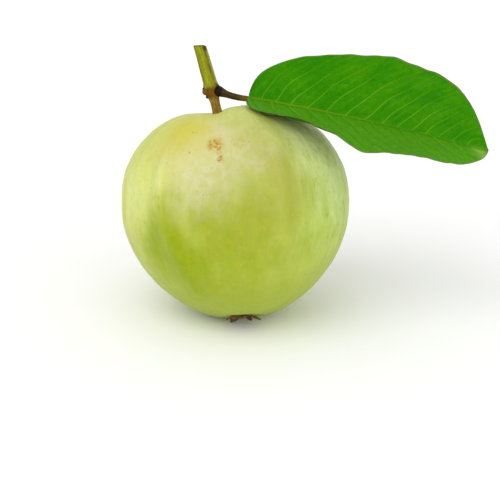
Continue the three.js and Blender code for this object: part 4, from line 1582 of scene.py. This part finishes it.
class GUAVA_OT_calyx(bpy.types.Operator):
    """Builds the dried calyx in its basin: a rim, a dry eye, sepals and stamen threads"""

    bl_idname = "guava.calyx"
    bl_label = "Calyx"

    def execute(self, context):
        calyx = context.scene.guava.calyx
        eye = calyx.eye_radius
        tree = ring_tree()
        sepals = self.sepal(calyx)
        varied = {"Unevenness": 0.14, "Lean": 0.08, "Seed": calyx.seed}
        run_tree(sepals, tree, Count=calyx.sepals, Radius=eye, **varied)
        threads = self.thread()
        varied = {"Unevenness": 0.45, "Lean": 0.5, "Seed": calyx.seed + 7}
        run_tree(threads, tree, Count=calyx.threads, Radius=0.72 * eye, **varied)
        whole = join_objects("guava_calyx", [sepals, threads, self.eye()])
        self.set_in_basin(whole, context.scene.guava.fruit, math.pi / calyx.sepals + 0.05)
        edit_mesh(whole, self.weld)
        finish_piece(whole, "calyx", calyx_material(calyx))
        return {"FINISHED"}

    @staticmethod
    def set_in_basin(obj, fruit, turn):
        """Lays the flat calyx on the skin, turned round the core's end, and keeps it off the floor."""
        outward = fruit_turn(fruit) @ CALYX_WAY
        floor_way = unit(np.array([0.0, 0.0, -1.0]) + outward * outward[2])
        side = floor_way * math.cos(turn) + np.cross(outward, floor_way) * math.sin(turn)
        local = points_of(obj)
        directions = side * local[:, :1] + np.cross(outward, side) * local[:, 1:2]
        world_way = unit(outward * fruit.radius + directions)
        reach = skin_radius(world_way @ fruit_turn(fruit), fruit)
        foot = np.array(fruit.centre) + world_way * reach[:, None]
        lifted = foot + outward * (local[:, 2:3] + OFF_SKIN)
        lifted[:, 2] = np.maximum(lifted[:, 2], OFF_FLOOR)
        obj.data.vertices.foreach_set("co", lifted.ravel())

    @staticmethod
    def weld(made):
        """Joins points that meet, and turns the faces outward."""
        bmesh.ops.remove_doubles(made, verts=made.verts, dist=0.001 * MM)
        bmesh.ops.recalc_face_normals(made, faces=made.faces)

    @staticmethod
    def sepal(calyx):
        """One dry sepal: +X is outward and Z is its height above the skin."""
        along = np.linspace(0, 1, SEPAL_ROWS)[:, None]
        across = np.linspace(-1, 1, SEPAL_COLUMNS)[None, :]
        half = calyx.sepal_width / 2 * np.sqrt(np.maximum(0, 1 - along**2.6)) * (1 - 0.25 * along)
        ragged = 1 + 0.05 * np.sin(19 * along) * np.abs(across) ** 3
        x = along * calyx.sepal_length * (1 - 0.12 * across**2) * ragged
        y = half * across * ragged
        keel = 0.35 * (1 - np.abs(across)) ** 2
        curl = 0.75 * along**2 + 0.4 * across**2 * along + 0.12 * np.sin(9 * along + 2 * across)
        top = np.stack([x, y, (0.45 + keel + curl) * MM], axis=-1)
        return new_sheet("sepal", top, top - np.array([0.0, 0.0, SEPAL_THICKNESS]))

    @staticmethod
    def thread():
        """One dry stamen thread, bent outward."""
        along = np.linspace(0, 1, THREAD_RINGS)[:, None]
        around = np.linspace(0, TURN, THREAD_SIDES, endpoint=False)[None, :]
        radius = (0.09 - 0.05 * along) * MM
        x = 0.9 * MM * along**2 + radius * np.cos(around)
        z = (0.4 + 1.1 * along - 0.5 * along**2) * MM + 0 * around
        return new_tube("thread", np.stack([x, radius * np.sin(around), z], axis=-1))

    @staticmethod
    def eye():
        """The rim and the dry eye inside it, with the stub of the style in the middle."""
        profile = np.array(EYE_PROFILE) * MM
        around = np.linspace(0, TURN, EYE_SIDES, endpoint=False)[None, :]
        out = profile[:, :1] * (1 + 0.05 * np.sin(5 * around + 0.6) + 0.03 * np.sin(11 * around))
        z = profile[:, 1:] * (1 + 0.1 * np.sin(7 * around + 1.0))
        return new_tube("eye", np.stack([out * np.cos(around), out * np.sin(around), z], axis=-1))


# Stage ----------------------------------------------------------------------------------------

FRUIT_IN_PICTURE = (236.0, 206.0)  # where the fruit's centre falls, in pixels from the top left
PICTURE_WIDTH = 500.0
SENSOR_WIDTH = 36.0
FLOOR_WHITE = srgb(252, 252, 252)
AIR_STRENGTH = 0.80
LIGHT_DISTANCE = 1.2
# The way to each light, its strength and how wide it is in degrees.
LIGHTS = {
    "key_light": ((-0.5, -0.62, 0.9), 0.93, 50),
    "fill_light": ((0.3, -1.0, 0.42), 0.55, 70),
    "side_light": ((1.0, -0.62, 0.16), 0.5, 40),
}


def add_light(name, way_to_light, strength, degrees):
    """A soft light that shines on the guava from a direction."""
    data = bpy.data.lights.new(name, "SUN")
    data.energy = strength
    data.angle = math.radians(degrees)
    light = bpy.data.objects.new(name, data)
    light.rotation_euler = Vector(way_to_light).to_track_quat("Z", "Y").to_euler()
    light.location = Vector(way_to_light).normalized() * LIGHT_DISTANCE
    bpy.context.scene.collection.objects.link(light)


class GUAVA_OT_stage(bpy.types.Operator):
    """Lays the pale floor, sets the soft studio light and places the camera"""

    bl_idname = "guava.stage"
    bl_label = "Stage"

    def execute(self, context):
        scene = context.scene
        stage = scene.guava.stage
        half = stage.floor_width / 2
        corners = [(-half, -half, 0), (half, -half, 0), (half, half, 0), (-half, half, 0)]
        floor = new_object("studio_floor", corners, [(0, 1, 2, 3)])
        material, steps = new_material("studio_white", Roughness=0.85, Specular_IOR_Level=0.1)
        uneven = mottle(steps, steps.object_place(), 3.0, 0.2, 0.8)
        steps.shade(Base_Color=steps.blend(uneven, stage.floor, FLOOR_WHITE))
        floor.data.materials.append(material)
        floor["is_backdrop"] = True

        world = bpy.data.worlds.new("studio_air")
        world.use_nodes = True
        air = world.node_tree.nodes["Background"].inputs
        air["Color"].default_value = (1.0, 1.0, 1.0, 1.0)
        air["Strength"].default_value = AIR_STRENGTH
        scene.world = world
        for name, light in LIGHTS.items():
            add_light(name, *light)

        self.place_camera(scene, stage)
        scene.view_settings.view_transform = "Standard"
        scene.view_settings.look = "None"
        return {"FINISHED"}

    @staticmethod
    def place_camera(scene, stage):
        """Looks down on the guava, so that the fruit's centre falls at its place in the picture."""
        away = PICTURE_WIDTH * stage.lens / SENSOR_WIDTH * stage.metres_per_pixel
        tilt = stage.camera_height_angle
        ahead = Vector((0.0, math.cos(tilt), -math.sin(tilt)))
        up = Vector((0.0, math.sin(tilt), math.cos(tilt)))
        right = Vector((1.0, 0.0, 0.0))
        off_right = (FRUIT_IN_PICTURE[0] - PICTURE_WIDTH / 2) * stage.metres_per_pixel
        off_up = (PICTURE_WIDTH / 2 - FRUIT_IN_PICTURE[1]) * stage.metres_per_pixel

        data = bpy.data.cameras.new("camera")
        data.lens = stage.lens
        data.sensor_width = SENSOR_WIDTH
        camera = bpy.data.objects.new("camera", data)
        camera.location = Vector(scene.guava.fruit.centre) - right * off_right - up * off_up - ahead * away
        camera.rotation_euler = (math.pi / 2 - tilt, 0.0, 0.0)
        scene.collection.objects.link(camera)
        scene.camera = camera


# Add-on ---------------------------------------------------------------------------------------


class GUAVA_PT_build(bpy.types.Panel):
    """Lists the guava's pieces with their settings."""

    bl_idname = "GUAVA_PT_build"
    bl_label = "Guava"
    bl_space_type = "VIEW_3D"
    bl_region_type = "UI"
    bl_category = "Guava"

    def draw(self, context):
        settings = context.scene.guava
        for name in ("fruit", "calyx", "twig", "leaf", "petiole", "stage"):
            box = self.layout.box()
            box.operator(f"guava.{name}")
            group = getattr(settings, name)
            for key in group.__annotations__:
                box.prop(group, key)


CLASSES = (
    GuavaFruitSettings,
    GuavaTwigSettings,
    GuavaPetioleSettings,
    GuavaLeafSettings,
    GuavaCalyxSettings,
    GuavaStageSettings,
    GuavaSettings,
    GUAVA_OT_fruit,
    GUAVA_OT_calyx,
    GUAVA_OT_twig,
    GUAVA_OT_leaf,
    GUAVA_OT_petiole,
    GUAVA_OT_stage,
    GUAVA_PT_build,
)


def register():
    for cls in CLASSES:
        bpy.utils.register_class(cls)
    bpy.types.Scene.guava = PointerProperty(type=GuavaSettings)


def unregister():
    del bpy.types.Scene.guava
    for cls in reversed(CLASSES):
        bpy.utils.unregister_class(cls)


def main():
    register()
    bpy.ops.guava.fruit()
    bpy.ops.guava.calyx()
    bpy.ops.guava.twig()
    bpy.ops.guava.leaf()
    bpy.ops.guava.petiole()
    bpy.ops.guava.stage()
    boxes = {"cad": cad_bounds, "visual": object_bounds()}
    {name: [list(corner) for corner in box] for name, box in boxes.items()}


if __name__ == "__main__":
    main()
